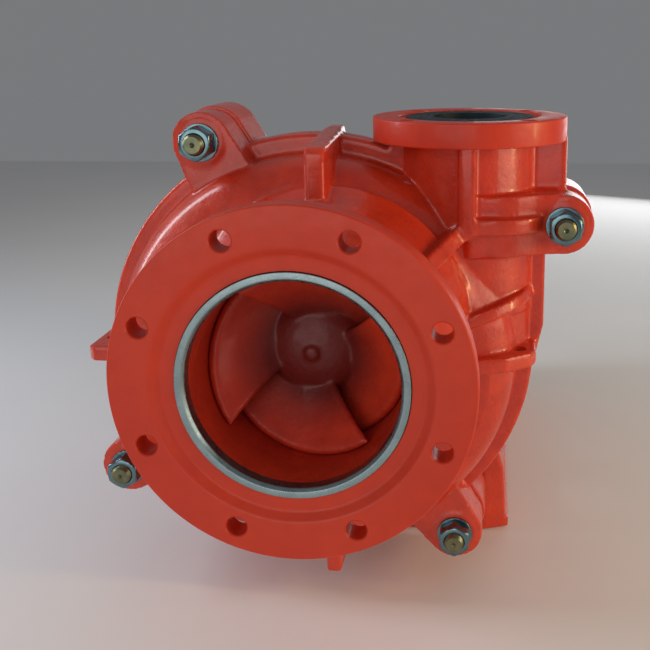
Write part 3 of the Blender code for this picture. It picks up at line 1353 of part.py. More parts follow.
def end_cover(name, face, outward, seal_radius):
    """Cover of the housing: plate with a spigot that holds the race, bored for its seal."""
    seal_outer = seal_radius + RUNNING_GAP + SEAL_WALL + SEAT_GAP
    start = face + outward * SEAT_GAP
    back = start + outward * COVER_THICKNESS
    spigot_tip = face - outward * (RACE_SETBACK - SEAT_GAP)
    outer = RACE_RADIUS
    inner = RACE_RADIUS - COVER_SPIGOT_WALL
    edge = FINE_EDGE
    return turned(name, [
        (back, seal_outer), (back, HOUSING_RADIUS - edge),
        (back - outward * edge, HOUSING_RADIUS), (start, HOUSING_RADIUS), (start, outer),
        (spigot_tip, outer), (spigot_tip, inner), (start, inner), (start, seal_outer)],
        ROUND_STEPS)


def shaft_seal(name, face, outward, seal_radius):
    """Lip seal pressed into an end cover."""
    bore = seal_radius + RUNNING_GAP
    start = face + outward * (SEAT_GAP + SEAL_INSET)
    end = face + outward * (SEAT_GAP + COVER_THICKNESS - SEAL_INSET)
    return tube(name, min(start, end), max(start, end), bore, bore + SEAL_WALL)


def outer_race(name, start, wide_end):
    """Outer ring of a taper roller bearing, wider at one end."""
    end = start + RACE_WIDTH
    narrow = RACE_RADIUS - RACE_WALL
    front_bore = narrow + (CONE_RELIEF if wide_end < 0 else 0.0)
    rear_bore = narrow + (CONE_RELIEF if wide_end > 0 else 0.0)
    return turned(name, [(start, front_bore), (start, RACE_RADIUS), (end, RACE_RADIUS),
                         (end, rear_bore)], ROUND_STEPS)


def bearing_cone(name, start):
    """Inner ring of a bearing with its rollers, which its cage holds to it."""
    bore = JOURNAL_RADIUS + SEAT_GAP
    end = start + RACE_WIDTH
    outer = bore + CONE_WALL
    body = tube(name, start, end, bore, outer, ROUND_STEPS)
    pitch = RACE_RADIUS - RACE_WALL - 2 * RUNNING_GAP - ROLLER_RADIUS
    for index in range(ROLLER_COUNT):
        turn = math.tau * index / ROLLER_COUNT
        centre = (pitch * math.cos(turn), 0, pitch * math.sin(turn))
        fused(body, rod("roller", start + ROLLER_INSET, end - ROLLER_INSET, ROLLER_RADIUS, 6,
                        centre=centre))
    return body


def clamp_bolt(name, place):
    """Bolt that clamps the housing's ear to the base's rail."""
    top = RAIL_HEIGHT + SEAT_GAP + EAR_THICKNESS + 2 * SEAT_GAP + CLAMP_WASHER_THICKNESS
    tip = RAIL_HEIGHT - CLAMP_BOLT_GRIP
    return bolt(name, (place[0], place[1], 0), UPWARD, tip, top, CLAMP_BOLT_RADIUS,
                CLAMP_BOLT_FLATS, CLAMP_BOLT_HEAD)


def clamp_washer(name, place):
    """Thick washer over the housing ear's slot."""
    low = RAIL_HEIGHT + SEAT_GAP + EAR_THICKNESS + SEAT_GAP
    return tube(name, low, low + CLAMP_WASHER_THICKNESS, CLAMP_BOLT_RADIUS + SEAT_GAP,
                CLAMP_WASHER_RADIUS, SMALL_STEPS, centre=(place[0], place[1], 0),
                axis=UPWARD)


def adjusting_screw():
    """Stud that sets the bearing assembly along the base."""
    start = HOUSING_END - LUG_SETBACK - ADJUST_LUG_THICKNESS + FINE_EDGE
    end = BASE_END_DEPTH + ADJUST_NUT_HEIGHT + ADJUST_TAIL
    return rod("adjusting_screw", start, end, ADJUST_RADIUS, SMALL_STEPS, FINE_EDGE,
               centre=(0, 0, -ADJUST_DROP))


def adjusting_nut(name, behind):
    """Nut of the adjusting screw, before or behind the base's rear wall."""
    if behind:
        start = BASE_END_DEPTH + SEAT_GAP
    else:
        start = BASE_END_DEPTH - BASE_WALL - SEAT_GAP - ADJUST_NUT_HEIGHT
    return hexagon_nut(name, start, start + ADJUST_NUT_HEIGHT, ADJUST_NUT_FLATS,
                   ADJUST_RADIUS + RUNNING_GAP, (0, 0, -ADJUST_DROP))


def frame_bolt_places():
    """Centres of the bolts that hold the frame plate to the base's ring."""
    places = []
    for turn in FRAME_BOLT_ANGLES:
        x, height = arc((0, 0), FRAME_BOLT_CIRCLE, turn, turn, 1)[0]
        places.append((x, 0, height))
    return places


def frame_bolt(name, centre):
    """Bolt from behind the base's ring into the frame plate's boss."""
    shoulder = BASE_FRONT + BASE_FRONT_WALL + SEAT_GAP
    tip = BOSS_FACE - FRAME_BOLT_GRIP
    return bolt(name, centre, AXIAL, tip, shoulder, FRAME_BOLT_RADIUS, FRAME_BOLT_FLATS,
                FRAME_BOLT_HEAD)


def mirrored(points):
    """An outline's right half and its mirror image, as one closed outline."""
    return points + [(-x, height) for x, height in reversed(points)]


def base():
    """Cast base: front ring, hollow body with two rails, rear wall and foot bars."""
    shin_top = FLOOR + BASE_SHIN_HEIGHT
    foot_top = FLOOR + FOOT_THICKNESS
    outside = mirrored([
        (BASE_HALF_WIDTH, foot_top - SINK), (BASE_SHIN_HALF_WIDTH, shin_top),
        (BASE_RAIL_HALF_WIDTH, RAIL_HEIGHT - BASE_RAIL_THICKNESS),
        (BASE_RAIL_HALF_WIDTH, RAIL_HEIGHT)])
    body = extruded("base", outside, BASE_FRONT, BASE_END_DEPTH)
    inner_face = BASE_FRONT + BASE_FRONT_WALL - EDGE
    ring = rod("base_ring", BASE_FRONT, BASE_FRONT + BASE_FRONT_WALL, FRAME_BOSS_RADIUS,
               LARGE_STEPS)
    outer_x = BASE_HALF_WIDTH + FOOT_PROUD
    foot_outline = [
        (-outer_x + FOOT_CHAMFER_X, BASE_FRONT), (outer_x - FOOT_CHAMFER_X, BASE_FRONT),
        (outer_x, BASE_FRONT + FOOT_CHAMFER_Y), (outer_x, BASE_END_DEPTH + FOOT_PROUD),
        (-outer_x, BASE_END_DEPTH + FOOT_PROUD), (-outer_x, BASE_FRONT + FOOT_CHAMFER_Y)]
    foot = extruded("foot", foot_outline, FLOOR, foot_top, UPWARD)
    chamfers = []
    for toward in (-1, 1):
        wedge = [(toward * (outer_x - FOOT_CHAMFER_X), BASE_FRONT - PAST),
                 (toward * (outer_x + 2 * PAST), BASE_FRONT - PAST),
                 (toward * (outer_x + 2 * PAST), BASE_FRONT + FOOT_CHAMFER_Y
                  + 2 * PAST * FOOT_CHAMFER_Y / FOOT_CHAMFER_X),
                 (toward * (outer_x - FOOT_CHAMFER_X), BASE_FRONT)]
        chamfers.append(extruded("corner", wedge, FLOOR - PAST, RAIL_HEIGHT + PAST, UPWARD))
    cut(body, *chamfers)
    fused(body, ring)
    rail_inner = HOUSING_RADIUS + 2 * SINK
    inside = mirrored([
        (BASE_HALF_WIDTH - BASE_WALL, FLOOR - 2 * PAST), (BASE_SHIN_HALF_WIDTH - BASE_WALL, shin_top),
        (BASE_RAIL_HALF_WIDTH - BASE_WALL, RAIL_HEIGHT - BASE_RAIL_THICKNESS - SINK),
        (rail_inner, RAIL_HEIGHT - BASE_RAIL_THICKNESS + SINK), (rail_inner, RAIL_HEIGHT + 2 * PAST)])
    hollow = extruded("hollow", inside, inner_face, BASE_END_DEPTH - BASE_WALL)
    cut(body, hollow)
    opening = block("foot_opening", (-outer_x + FOOT_RAIL, outer_x - FOOT_RAIL),
                    (BASE_FRONT + FOOT_BAR, BASE_END_DEPTH + FOOT_PROUD - FOOT_BAR),
                    (FLOOR - PAST, foot_top + PAST))
    cut(foot, opening)
    fused(body, foot)
    bulkhead_half = BASE_SHIN_HALF_WIDTH - BASE_WALL + SINK
    bulkhead_outline = mirrored([
        (bulkhead_half, foot_top - SINK), (bulkhead_half, shin_top),
        (BASE_RAIL_HALF_WIDTH - BASE_WALL + 2.5 * SINK, BULKHEAD_TOP)])
    fused(body, extruded("bulkhead", bulkhead_outline, BULKHEAD_DEPTH,
                         BULKHEAD_DEPTH + BASE_WALL * 0.75))
    cutters = [rod("ring_bore", BASE_FRONT - PAST, BASE_FRONT + BASE_FRONT_WALL + PAST,
                   BASE_RING_BORE, ROUND_STEPS)]
    for centre in frame_bolt_places():
        cutters.append(rod("frame_bolt_hole", BASE_FRONT - PAST,
                           BASE_FRONT + BASE_FRONT_WALL + PAST, FRAME_BOLT_RADIUS + STUD_HOLE_CLEARANCE,
                           centre=centre))
    for x, depth in clamp_places():
        cutters.append(rod("clamp_hole", RAIL_HEIGHT - BASE_RAIL_THICKNESS - PAST,
                           RAIL_HEIGHT + PAST, CLAMP_BOLT_RADIUS + SEAT_GAP,
                           centre=(x, depth, 0), axis=UPWARD))
    for x in (-FOOT_HOLE_OUT, FOOT_HOLE_OUT):
        for depth in (BASE_FRONT + FOOT_HOLE_SETBACK, BASE_END_DEPTH - FOOT_HOLE_SETBACK):
            cutters.append(rod("foot_hole", FLOOR - PAST, foot_top + PAST, FOOT_HOLE,
                               centre=(x, depth, 0), axis=UPWARD))
    window_z = FLOOR + WINDOW_HEIGHT
    for middle in ((BASE_FRONT + BULKHEAD_DEPTH + BASE_FRONT_WALL) / 2, BULKHEAD_DEPTH + WINDOW_SETBACK,
                   BASE_END_DEPTH - WINDOW_INSET):
        reach = WINDOW_LENGTH / 2 - WINDOW_HALF_HEIGHT
        outline = arc((middle + reach, window_z), WINDOW_HALF_HEIGHT, -90, 90, 8)
        outline += arc((middle - reach, window_z), WINDOW_HALF_HEIGHT, 90, 270, 8)
        cutters.append(extruded("window", outline, -outer_x - 2 * PAST, outer_x + 2 * PAST, ACROSS))
    cutters.append(rod("adjusting_hole", BASE_END_DEPTH - BASE_WALL - PAST,
                       BASE_END_DEPTH + PAST, ADJUST_RADIUS + FINE_EDGE,
                       centre=(0, 0, -ADJUST_DROP)))
    return cut(body, *cutters)


def casing_stud(name, place):
    """Long bolt through both casing lugs, its head behind and its tip in front."""
    tip = LUG_FRONT - LUG_BOSS_HEIGHT - 2 * SEAT_GAP - WASHER_THICKNESS - NUT_HEIGHT - STUD_TIP
    return bolt(name, (place[0], 0, place[1]), AXIAL, tip, LUG_BACK + SEAT_GAP, STUD_RADIUS,
                NUT_ACROSS_FLATS, HEAD_HEIGHT, dimple=STUD_RADIUS * 0.2)


def casing_washer(name, place):
    """Washer on the cover's lug."""
    end = LUG_FRONT - LUG_BOSS_HEIGHT - SEAT_GAP
    return tube(name, end - WASHER_THICKNESS, end, STUD_RADIUS + SEAT_GAP, WASHER_RADIUS,
                SMALL_STEPS + 4, centre=(place[0], 0, place[1]))


def casing_nut(name, place):
    """Nut on the front of a casing bolt."""
    end = LUG_FRONT - LUG_BOSS_HEIGHT - 2 * SEAT_GAP - WASHER_THICKNESS
    return hexagon_nut(name, end - NUT_HEIGHT, end, NUT_ACROSS_FLATS, STUD_RADIUS + SEAT_GAP,
                   (place[0], 0, place[1]))


def shaft_sleeve():
    """Hard sleeve that runs in the packing."""
    return tube("shaft_sleeve", SHAFT_SHOULDER, SLEEVE_END, SLEEVE_SEAT_RADIUS + SEAT_GAP,
                SLEEVE_RADIUS, ROUND_STEPS)


def flinger():
    """Ring on the shaft that throws leakage off before the bearing."""
    start = HOUSING_START - COVER_THICKNESS - FLINGER_WIDTH - FLINGER_GAP
    return tube("flinger", start, start + FLINGER_WIDTH, SEAL_RADIUS_FRONT + SEAT_GAP,
                FLINGER_RADIUS, ROUND_STEPS)


def finish(thing, look, parent):
    """Give a piece its material and smooth shading, and hang it on the pump's axis."""
    flattened(thing)
    thing.data.materials.clear()
    thing.data.materials.append(finish_material(thing.name, look))
    thing.data.shade_smooth()
    thing.data.set_sharp_from_angle(angle=SMOOTH_ANGLE)
    thing.parent = parent


def build():
    """Make every piece of the pump."""
    clear_scene()
    axis = bpy.data.objects.new("pump_axis", None)
    axis.location = (0, -ORIGIN_DEPTH, AXIS_HEIGHT)
    bpy.context.collection.objects.link(axis)
    red = [cover_plate(), frame_plate(), base(), throat_bush(), impeller(), bearing_housing()]
    red.append(stuffing_box())
    red.append(end_cover("front_end_cover", HOUSING_START, -1, SEAL_RADIUS_FRONT))
    red.append(end_cover("rear_end_cover", HOUSING_END, 1, SEAL_RADIUS_REAR))
    iron = [volute_liner(), frame_plate_insert()]
    rubber = [discharge_joint_ring()]
    rubber.append(shaft_seal("front_seal", HOUSING_START, -1, SEAL_RADIUS_FRONT))
    rubber.append(shaft_seal("rear_seal", HOUSING_END, 1, SEAL_RADIUS_REAR))
    rubber.append(flinger())
    steel = [shaft(), shaft_key(), shaft_sleeve(), adjusting_screw()]
    steel.append(outer_race("front_outer_race", FRONT_RACE, -1))
    steel.append(outer_race("rear_outer_race", REAR_RACE, 1))
    steel.append(bearing_cone("front_bearing_cone", FRONT_RACE))
    steel.append(bearing_cone("rear_bearing_cone", REAR_RACE))
    zinc = [adjusting_nut("adjusting_nut_inner", False), adjusting_nut("adjusting_nut_outer", True)]
    yellow = []
    for name, place in stud_places().items():
        yellow.append(casing_stud("casing_bolt_" + name, place))
        zinc.append(casing_washer("casing_washer_" + name, place))
        zinc.append(casing_nut("casing_nut_" + name, place))
    for number, centre in enumerate(frame_bolt_places(), 1):
        zinc.append(frame_bolt("frame_bolt_%d" % number, centre))
    for number, place in enumerate(clamp_places(), 1):
        zinc.append(clamp_bolt("clamp_bolt_%d" % number, place))
        zinc.append(clamp_washer("clamp_washer_%d" % number, place))
    bronze = [lantern_ring()]
    for name, toward in (("left", -1), ("right", 1)):
        bronze.append(gland_half("gland_half_" + name, toward))
        zinc.append(gland_stud("gland_stud_" + name, toward))
        zinc.append(gland_nut("gland_nut_" + name, toward))
    packing = [packing_ring(number, start) for number, start in enumerate(packing_starts(), 1)]
    finishes = [(red, RED_PAINT), (iron, WHITE_IRON), (rubber, DARK_RUBBER),
                (steel, BARE_STEEL), (zinc, ZINC_PLATE), (yellow, YELLOW_PLATE),
                (bronze, BRONZE), (packing, GREY_PACKING)]
    for pieces, look in finishes:
        for piece in pieces:
            finish(piece, look, axis)


build()
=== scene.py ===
"""Looks of a horizontal slurry pump: fine castings, enamel, bare steel and plated bolts.

Shapes are drawn in pump coordinates (x, depth, height): depth is measured from the suction
flange's face, height from the shaft's centre line. placed() moves each piece into the frame.
"""

import json
import math

import bmesh
import bpy
from mathutils import Matrix, Vector


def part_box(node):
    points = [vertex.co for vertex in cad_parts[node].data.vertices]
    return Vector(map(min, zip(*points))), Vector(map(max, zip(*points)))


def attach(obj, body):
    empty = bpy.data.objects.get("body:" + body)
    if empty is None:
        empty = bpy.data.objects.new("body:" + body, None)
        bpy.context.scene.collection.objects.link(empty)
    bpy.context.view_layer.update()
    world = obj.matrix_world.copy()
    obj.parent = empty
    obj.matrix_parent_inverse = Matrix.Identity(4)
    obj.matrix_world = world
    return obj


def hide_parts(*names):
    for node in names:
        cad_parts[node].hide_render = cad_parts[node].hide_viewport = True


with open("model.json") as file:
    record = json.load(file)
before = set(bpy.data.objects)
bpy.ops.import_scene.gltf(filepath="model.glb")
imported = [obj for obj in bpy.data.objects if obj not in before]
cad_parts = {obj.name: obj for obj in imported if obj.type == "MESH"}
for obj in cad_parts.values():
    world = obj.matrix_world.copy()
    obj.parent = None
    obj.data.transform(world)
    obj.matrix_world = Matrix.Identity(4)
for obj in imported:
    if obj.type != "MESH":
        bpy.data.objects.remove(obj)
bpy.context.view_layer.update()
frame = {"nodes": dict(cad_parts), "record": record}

# Where the pump's own coordinates lie in the frame
SUCTION_FACE_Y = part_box("cover_plate")[0].y
AXIS_HEIGHT = (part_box("shaft_sleeve")[0].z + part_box("shaft_sleeve")[1].z) / 2
TO_FRAME = Matrix.Translation((0, SUCTION_FACE_Y, AXIS_HEIGHT))
TO_PUMP = TO_FRAME.inverted()

# Suction flange and throat
PARTING_DEPTH = 0.343
HALF_SPLIT = 0.00015
SUCTION_FLANGE_RADIUS = 0.1715
SUCTION_FLANGE_THICKNESS = 0.027
SUCTION_BOLT_CIRCLE = 0.150
SUCTION_BOLT_COUNT = 8
SUCTION_BOLT_HOLE = 0.010
SUCTION_RECESS_RADIUS = 0.1315
SUCTION_RECESS_DEPTH = 0.0075
SUCTION_RECESS_SLOPE = 0.008
SUCTION_SPIGOT_LENGTH = 0.030
SUCTION_NECK_RADIUS = 0.124
THROAT_BORE = 0.1006
THROAT_NOSE = 0.110
THROAT_SETBACK = 0.005
THROAT_END = 0.2898
BARE_BAND = 0.015
THROAT_EDGE = 0.003
THROAT_FLANGE_RADIUS = 0.145
THROAT_FLANGE_FRONT = 0.2518
THROAT_FLARE = 0.018

# Casing
CASING_CENTRE = (-0.032, -0.066)
CASING_RADIUS = 0.249
CASING_TOP = CASING_CENTRE[1] + CASING_RADIUS
CASING_BOTTOM = CASING_CENTRE[1] - CASING_RADIUS
CASING_HALF_WIDTH = 0.084
CASING_WALL = 0.012
LINER_WALL = 0.0135
LINER_SLANT = 0.012
SEAT_GAP = 0.0003
SHOULDER_RADIUS = 0.016
BELL_START = 0.080
BELL_END = 0.238
BELL_RADIUS = 0.150
DRUM_FACE = 0.2585
COVER_RADIUS = 0.243
COVER_SHOULDER = 0.040
FIN_FRONT = 0.208
RIM_PROUD = 0.016
RIM_THICKNESS = 0.021
RIM_EDGE = 0.004
FRAME_BOSS_RADIUS = 0.165
BOSS_FACE = 0.440
STUFFING_BOX_BORE = 0.0863
STUD_CIRCLE = 0.288
STUD_ANGLES = {"upper_left": 115.8, "lower_left": 211.8, "lower_right": 306.5}
SIDE_STUD = (0.2645, 0.099)
LUG_RADIUS = 0.034
LUG_ROOT_HALF_WIDTH = 0.041
LUG_ROOT_SHARE = 0.88
COVER_LUG_DEPTH = 0.057
FRAME_LUG_DEPTH = 0.075
FRAME_LUG_GROWTH = 0.003
LUG_BOSS_RADIUS = 0.0265
LUG_BOSS_HEIGHT = 0.002
COVER_LUG_FACE = PARTING_DEPTH - COVER_LUG_DEPTH
COVER_BOSS_FACE = COVER_LUG_FACE - LUG_BOSS_HEIGHT
FRAME_LUG_FACE = PARTING_DEPTH + FRAME_LUG_DEPTH
STUD_RADIUS = 0.012
RIB_THICKNESS = 0.0175
TOP_RIB_THICKNESS = 0.0215
TOP_RIB_X = -0.011
SIDE_RIB_HEIGHT = -0.0605
SIDE_RIB_LEFT = -0.306
SIDE_RIB_RIGHT = 0.234
SIDE_RIB_ROOT = 0.120
TOP_RIB_RISE = 0.022
TOP_RIB_ROOT = 0.083
BOTTOM_RIB_DROP = 0.026
BOTTOM_RIB_ROOT = 0.045
FRAME_RIB_REACH = 0.040
FRAME_RIB_ROOT = 0.065
RIB_CORNER = 0.008
LIFTING_HOLE = 0.009

# Discharge neck and flange
NECK_X = 0.153
NECK_RADIUS = 0.078
NECK_BORE = 0.066
LOWER_NECK_DEPTH = 0.070
LEDGE_HEIGHT = -0.009
LEDGE_RADIUS = 0.080
LEDGE_REACH = 0.019
LEDGE_THICKNESS = 0.014
LEDGE_TILT = -17
DISCHARGE_TOP = 0.220
DISCHARGE_FLANGE_RADIUS = 0.115
DISCHARGE_FLANGE_THICKNESS = 0.028
DISCHARGE_UNDERSIDE = DISCHARGE_TOP - DISCHARGE_FLANGE_THICKNESS
DISCHARGE_BOLT_CIRCLE = 0.0965
DISCHARGE_BOLT_COUNT = 4
HOLE_CHAMFER = 0.001
DISCHARGE_BOLT_HOLE = 0.0095
DISCHARGE_BORE = 0.044
DISCHARGE_STEP_RADIUS = 0.084
DISCHARGE_STEP_DEPTH = 0.003
JOINT_RING_RADIUS = 0.076
JOINT_RING_THICKNESS = 0.015
GROOVE_RADII = (0.068, 0.060, 0.052)
GROOVE_HALF_WIDTH = 0.0012
GROOVE_DEPTH = 0.0008
NECK_WEB_RIGHT = 0.245
NECK_RIB_FRONT = 0.245
NECK_RIB_HALF = 0.0088

# Impeller
VANE_COUNT = 4
VANE_TIP_RADIUS = 0.097
VANE_TIP_DEPTH = 0.062
VANE_THICKNESS = 0.009
VANE_PHASE = 39.0
VANE_TURN_PER_METRE = 2000.0
IMPELLER_RADIUS = 0.138
IMPELLER_HUB_RADIUS = 0.052
VANE_SWEEP = 0.058
VANE_ROOT_GROWTH = 3.4
HUB_NOSE_LENGTH = 0.030
IMPELLER_NOSE_DEPTH = 0.108
IMPELLER_FRONT = 0.2938
IMPELLER_BACK = 0.3752
IMPELLER_SWELL = 0.0018
EYE_SETBACK = 0.014
EYE_END = IMPELLER_FRONT - EYE_SETBACK
INNER_LAG = 0.012
VANE_STEADY_RUN = 0.075
VANE_FADE = 0.88
VANE_CHANNEL_TURN = 34
VANE_LEAN = 10
VANE_SPAN = 10
VANE_ROOT_DEPTH = 0.006
HUB_LEAST_RADIUS = 0.016
HUB_FLARE = 0.016
BACK_SHROUD = 0.012

# Fasteners
CASING_FLATS = 0.036
CASING_NUT_HEIGHT = 0.0196
CASING_BOLT_HEAD = 0.015
CASING_BOLT_TIP = 0.0266
CASING_THREAD = 0.034
CASING_WASHER_RADIUS = 0.022
CASING_WASHER_THICKNESS = 0.004
CASING_WASHER_BORE = 0.0125
CASING_NUT_BORE = 0.0123
SMALL_BOLT_RADIUS = 0.010
SMALL_FLATS = 0.030
SMALL_BOLT_HEAD = 0.0125
SMALL_THREAD = 0.012
SMALL_THREAD_PITCH = 0.0015
SMALL_WASHER_BORE = 0.0103
SMALL_WASHER_RADIUS = 0.020
GLAND_STUD_RADIUS = 0.006
GLAND_STUD_PITCH = 0.00175
GLAND_NUT_FLATS = 0.019
ADJUSTING_RADIUS = 0.008
ADJUSTING_PITCH = 0.002
ADJUSTING_FLATS = 0.024
CHAMFER_STEP = 0.0006

# Facets and fine edges
FINE_STEPS = 144
HOLE_STEPS = 40
CAST_VOXEL = 0.0022
CAST_ROUNDS = 5
CAST_SWELL = 0.0007
SMOOTH_ANGLE = math.radians(34)

# Camera; its angles are the heading, the pitch from straight down, and the roll
EYE_PLACE = (0.17985, -1.27762, 0.69284)
EYE_ANGLES = (4.22, 75.44, -0.31)
EYE_LENS = 52.51
EYE_SHIFT = (-0.150, -0.068)

# Directions: along the shaft, up, and across
AXIAL = Vector((0, 1, 0))
UPWARD = Vector((0, 0, 1))
ACROSS = Vector((1, 0, 0))
NECK_PLACE = {"centre": (NECK_X, PARTING_DEPTH, 0), "axis": UPWARD}


def shown(name, data):
    """Put a mesh, a light or a camera into the scene as an object."""
    thing = bpy.data.objects.new(name, data)
    bpy.context.scene.collection.objects.link(thing)
    return thing


def solid(name, shape):
    """Put a bmesh into the scene as an object with outward faces."""
    bmesh.ops.recalc_face_normals(shape, faces=shape.faces)
    mesh = bpy.data.meshes.new(name)
    shape.to_mesh(mesh)
    shape.free()
    return shown(name, mesh)


def mix(first, second, share):
    """The value that lies at a share of the way from the first to the second."""
    return first + (second - first) * share


def eased(share):
    """A smooth step from 0 to 1."""
    inside = min(max(share, 0.0), 1.0)
    return inside * inside * (3 - 2 * inside)


def polar(centre, radius, angle):
    """The point at a radius and an angle in degrees."""
    turn = math.radians(angle)
    return (centre[0] + radius * math.cos(turn), centre[1] + radius * math.sin(turn))


def arc(centre, radius, first, last, count):
    """Points on an arc from the first to the last angle, in degrees."""
    return [polar(centre, radius, first + (last - first) * index / count)
            for index in range(count + 1)]


def quarter(first, last):
    """1 - cosine and sine at every ten degrees from the first to the last angle."""
    turns = [math.radians(turn) for turn in range(first, last + 1, 10)]
    return [(1 - math.cos(turn), math.sin(turn)) for turn in turns]


def rounded(points, size, closed=False):
    """Replace each corner of an outline by a small curve."""
    count = 4
    result = []
    for index, point in enumerate(points):
        here = Vector(point)
        before = Vector(points[index - 1]) - here
        after = Vector(points[(index + 1) % len(points)]) - here
        at_end = index in (0, len(points) - 1) and not closed
        if at_end or before.angle(-after) < math.radians(8):
            result.append(here)
            continue
        reach = min(size, before.length * 0.45, after.length * 0.45)
        start = here + before.normalized() * reach
        end = here + after.normalized() * reach
        for step in range(count + 1):
            share = step / count
            result.append(start * (1 - share) ** 2 + here * 2 * share * (1 - share)
                          + end * share ** 2)
    return result


def turned(name, profile, steps=FINE_STEPS, centre=(0, 0, 0), axis=AXIAL):
    """Revolve (along, radius) points about an axis; a profile that ends on it stays open."""
    middle = Vector(centre)
    side = UPWARD if axis == ACROSS else ACROSS
    shape = bmesh.new()
    points = [shape.verts.new(middle + axis * along + side * radius) for along, radius in profile]
    edges = [shape.edges.new(pair) for pair in zip(points, points[1:])]
    if min(point[1] for point in profile) > 0:
        edges.append(shape.edges.new((points[-1], points[0])))
    bmesh.ops.spin(shape, geom=points + edges, cent=middle, axis=axis,
                   angle=math.tau, steps=steps, use_merge=True)
    bmesh.ops.remove_doubles(shape, verts=shape.verts, dist=1e-6)
    return solid(name, shape)


def rod(name, start, end, radius, steps=FINE_STEPS, **place):
    """A turned round bar from start to end."""
    return turned(name, [(start, 0.0), (start, radius), (end, radius), (end, 0.0)], steps, **place)


def hole_cutter(start, end, radius, chamfer, **place):
    """Cutter for a hole from start, past end, with a small chamfer at start."""
    outside = math.copysign(0.01, start - end)
    inward = -math.copysign(chamfer, outside)
    profile = [(start + outside, 0.0), (start + outside, radius + chamfer + abs(outside)),
               (start + inward, radius), (end, radius), (end, 0.0)]
    return turned("hole", profile, HOLE_STEPS, **place)


def extruded(name, outline, start, end, axis=AXIAL):
    """Extrude an outline along an axis; its points are the other two coordinates in order."""
    shape = bmesh.new()
    corners = []
    for point in outline:
        place = list(point)
        place.insert(list(axis).index(1), start)
        corners.append(shape.verts.new(place))
    face = shape.faces.new(corners)
    grown = bmesh.ops.extrude_face_region(shape, geom=[face])
    moved = [item for item in grown["geom"] if isinstance(item, bmesh.types.BMVert)]
    bmesh.ops.translate(shape, verts=moved, vec=axis * (end - start))
    return solid(name, shape)


def plate(name, outline, middle, half, axis):
    """A flat rib of an outline, half on either side of its middle."""
    return extruded(name, outline, middle - half, middle + half, axis)


def between(name, outline, first, last):
    """Extrude an outline along the shaft between two depths, in either order."""
    return extruded(name, outline, min(first, last), max(first, last))


def rectangle(left, right, low, high):
    """Corners of a rectangle."""
    return [(left, low), (right, low), (right, high), (left, high)]


def lofted(name, rings, closed=False):
    """Join rings of as many points each into one skin, capped or closed on itself."""
    shape = bmesh.new()
    loops = [[shape.verts.new(point) for point in ring] for ring in rings]
    pairs = list(zip(loops, loops[1:]))
    if closed:
        pairs.append((loops[-1], loops[0]))
    for low, high in pairs:
        for index in range(len(low)):
            shape.faces.new((low[index - 1], low[index], high[index], high[index - 1]))
    if not closed:
        shape.faces.new(loops[0])
        shape.faces.new(list(reversed(loops[-1])))
    return solid(name, shape)


def gathered(name, solids):
    """Put several solids into one mesh, as they are."""
    shape = bmesh.new()
    for thing in solids:
        shape.from_mesh(thing.data)
        bpy.data.objects.remove(thing, do_unlink=True)
    return solid(name, shape)


def applied(thing):
    """Replace a piece's mesh by what its modifiers make of it."""
    bpy.context.view_layer.update()
    graph = bpy.context.evaluated_depsgraph_get()
    mesh = bpy.data.meshes.new_from_object(thing.evaluated_get(graph))
    thing.modifiers.clear()
    thing.data = mesh
    return thing


def cut(thing, cutters):
    """A piece less its cutters, which don't touch each other."""
    tool = gathered("cutters", cutters)
    step = thing.modifiers.new("cut", "BOOLEAN")
    step.operation = "DIFFERENCE"
    step.solver = "EXACT"
    step.object = tool
    applied(thing)
    bpy.data.objects.remove(tool, do_unlink=True)
    return thing


def cast(name, solids, keep=0.5, voxel=CAST_VOXEL, rounds=CAST_ROUNDS, swell=CAST_SWELL):
    """Melt overlapping solids into one skin with the soft edges and roots of a casting."""
    thing = gathered(name, solids)
    melt = thing.modifiers.new("melt", "REMESH")
    melt.mode = "VOXEL"
    melt.voxel_size = voxel
    ease = thing.modifiers.new("ease", "SMOOTH")
    ease.factor = 0.5
    ease.iterations = rounds
    if swell:
        push = thing.modifiers.new("push", "DISPLACE")
        push.strength = swell
        push.mid_level = 0.0
    thin = thing.modifiers.new("thin", "DECIMATE")
    thin.ratio = keep
    return applied(thing)


def recast(node, keep, voxel):
    """The shape of a CAD node with the soft edges and roots of a casting or a worn part."""
    rough = bpy.data.objects.new(node, frame["nodes"][node].data.copy())
    rough.data.transform(TO_PUMP)
    return cast(node + "_finished", [rough], keep, voxel, 4, 0.0)


def node_line(node, axis):
    """Where a CAD node stands: its centre line as (point, axis), and its two ends along it."""
    low, high = [TO_PUMP @ Vector(corner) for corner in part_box(node)]
    middle = (low + high) / 2
    return (middle - axis * middle.dot(axis), axis), low.dot(axis), high.dot(axis)


def placed(thing, material, body, *nodes):
    """Finish a piece: material, smooth shading, its place in the frame and what it stands for."""
    thing.data.materials.clear()
    thing.data.materials.append(material)
    thing.data.shade_smooth()
    thing.data.set_sharp_from_angle(angle=SMOOTH_ANGLE)
    thing.data.transform(TO_FRAME)
    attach(thing, body)
    if nodes:
        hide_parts(*nodes)
    return thing


# Materials


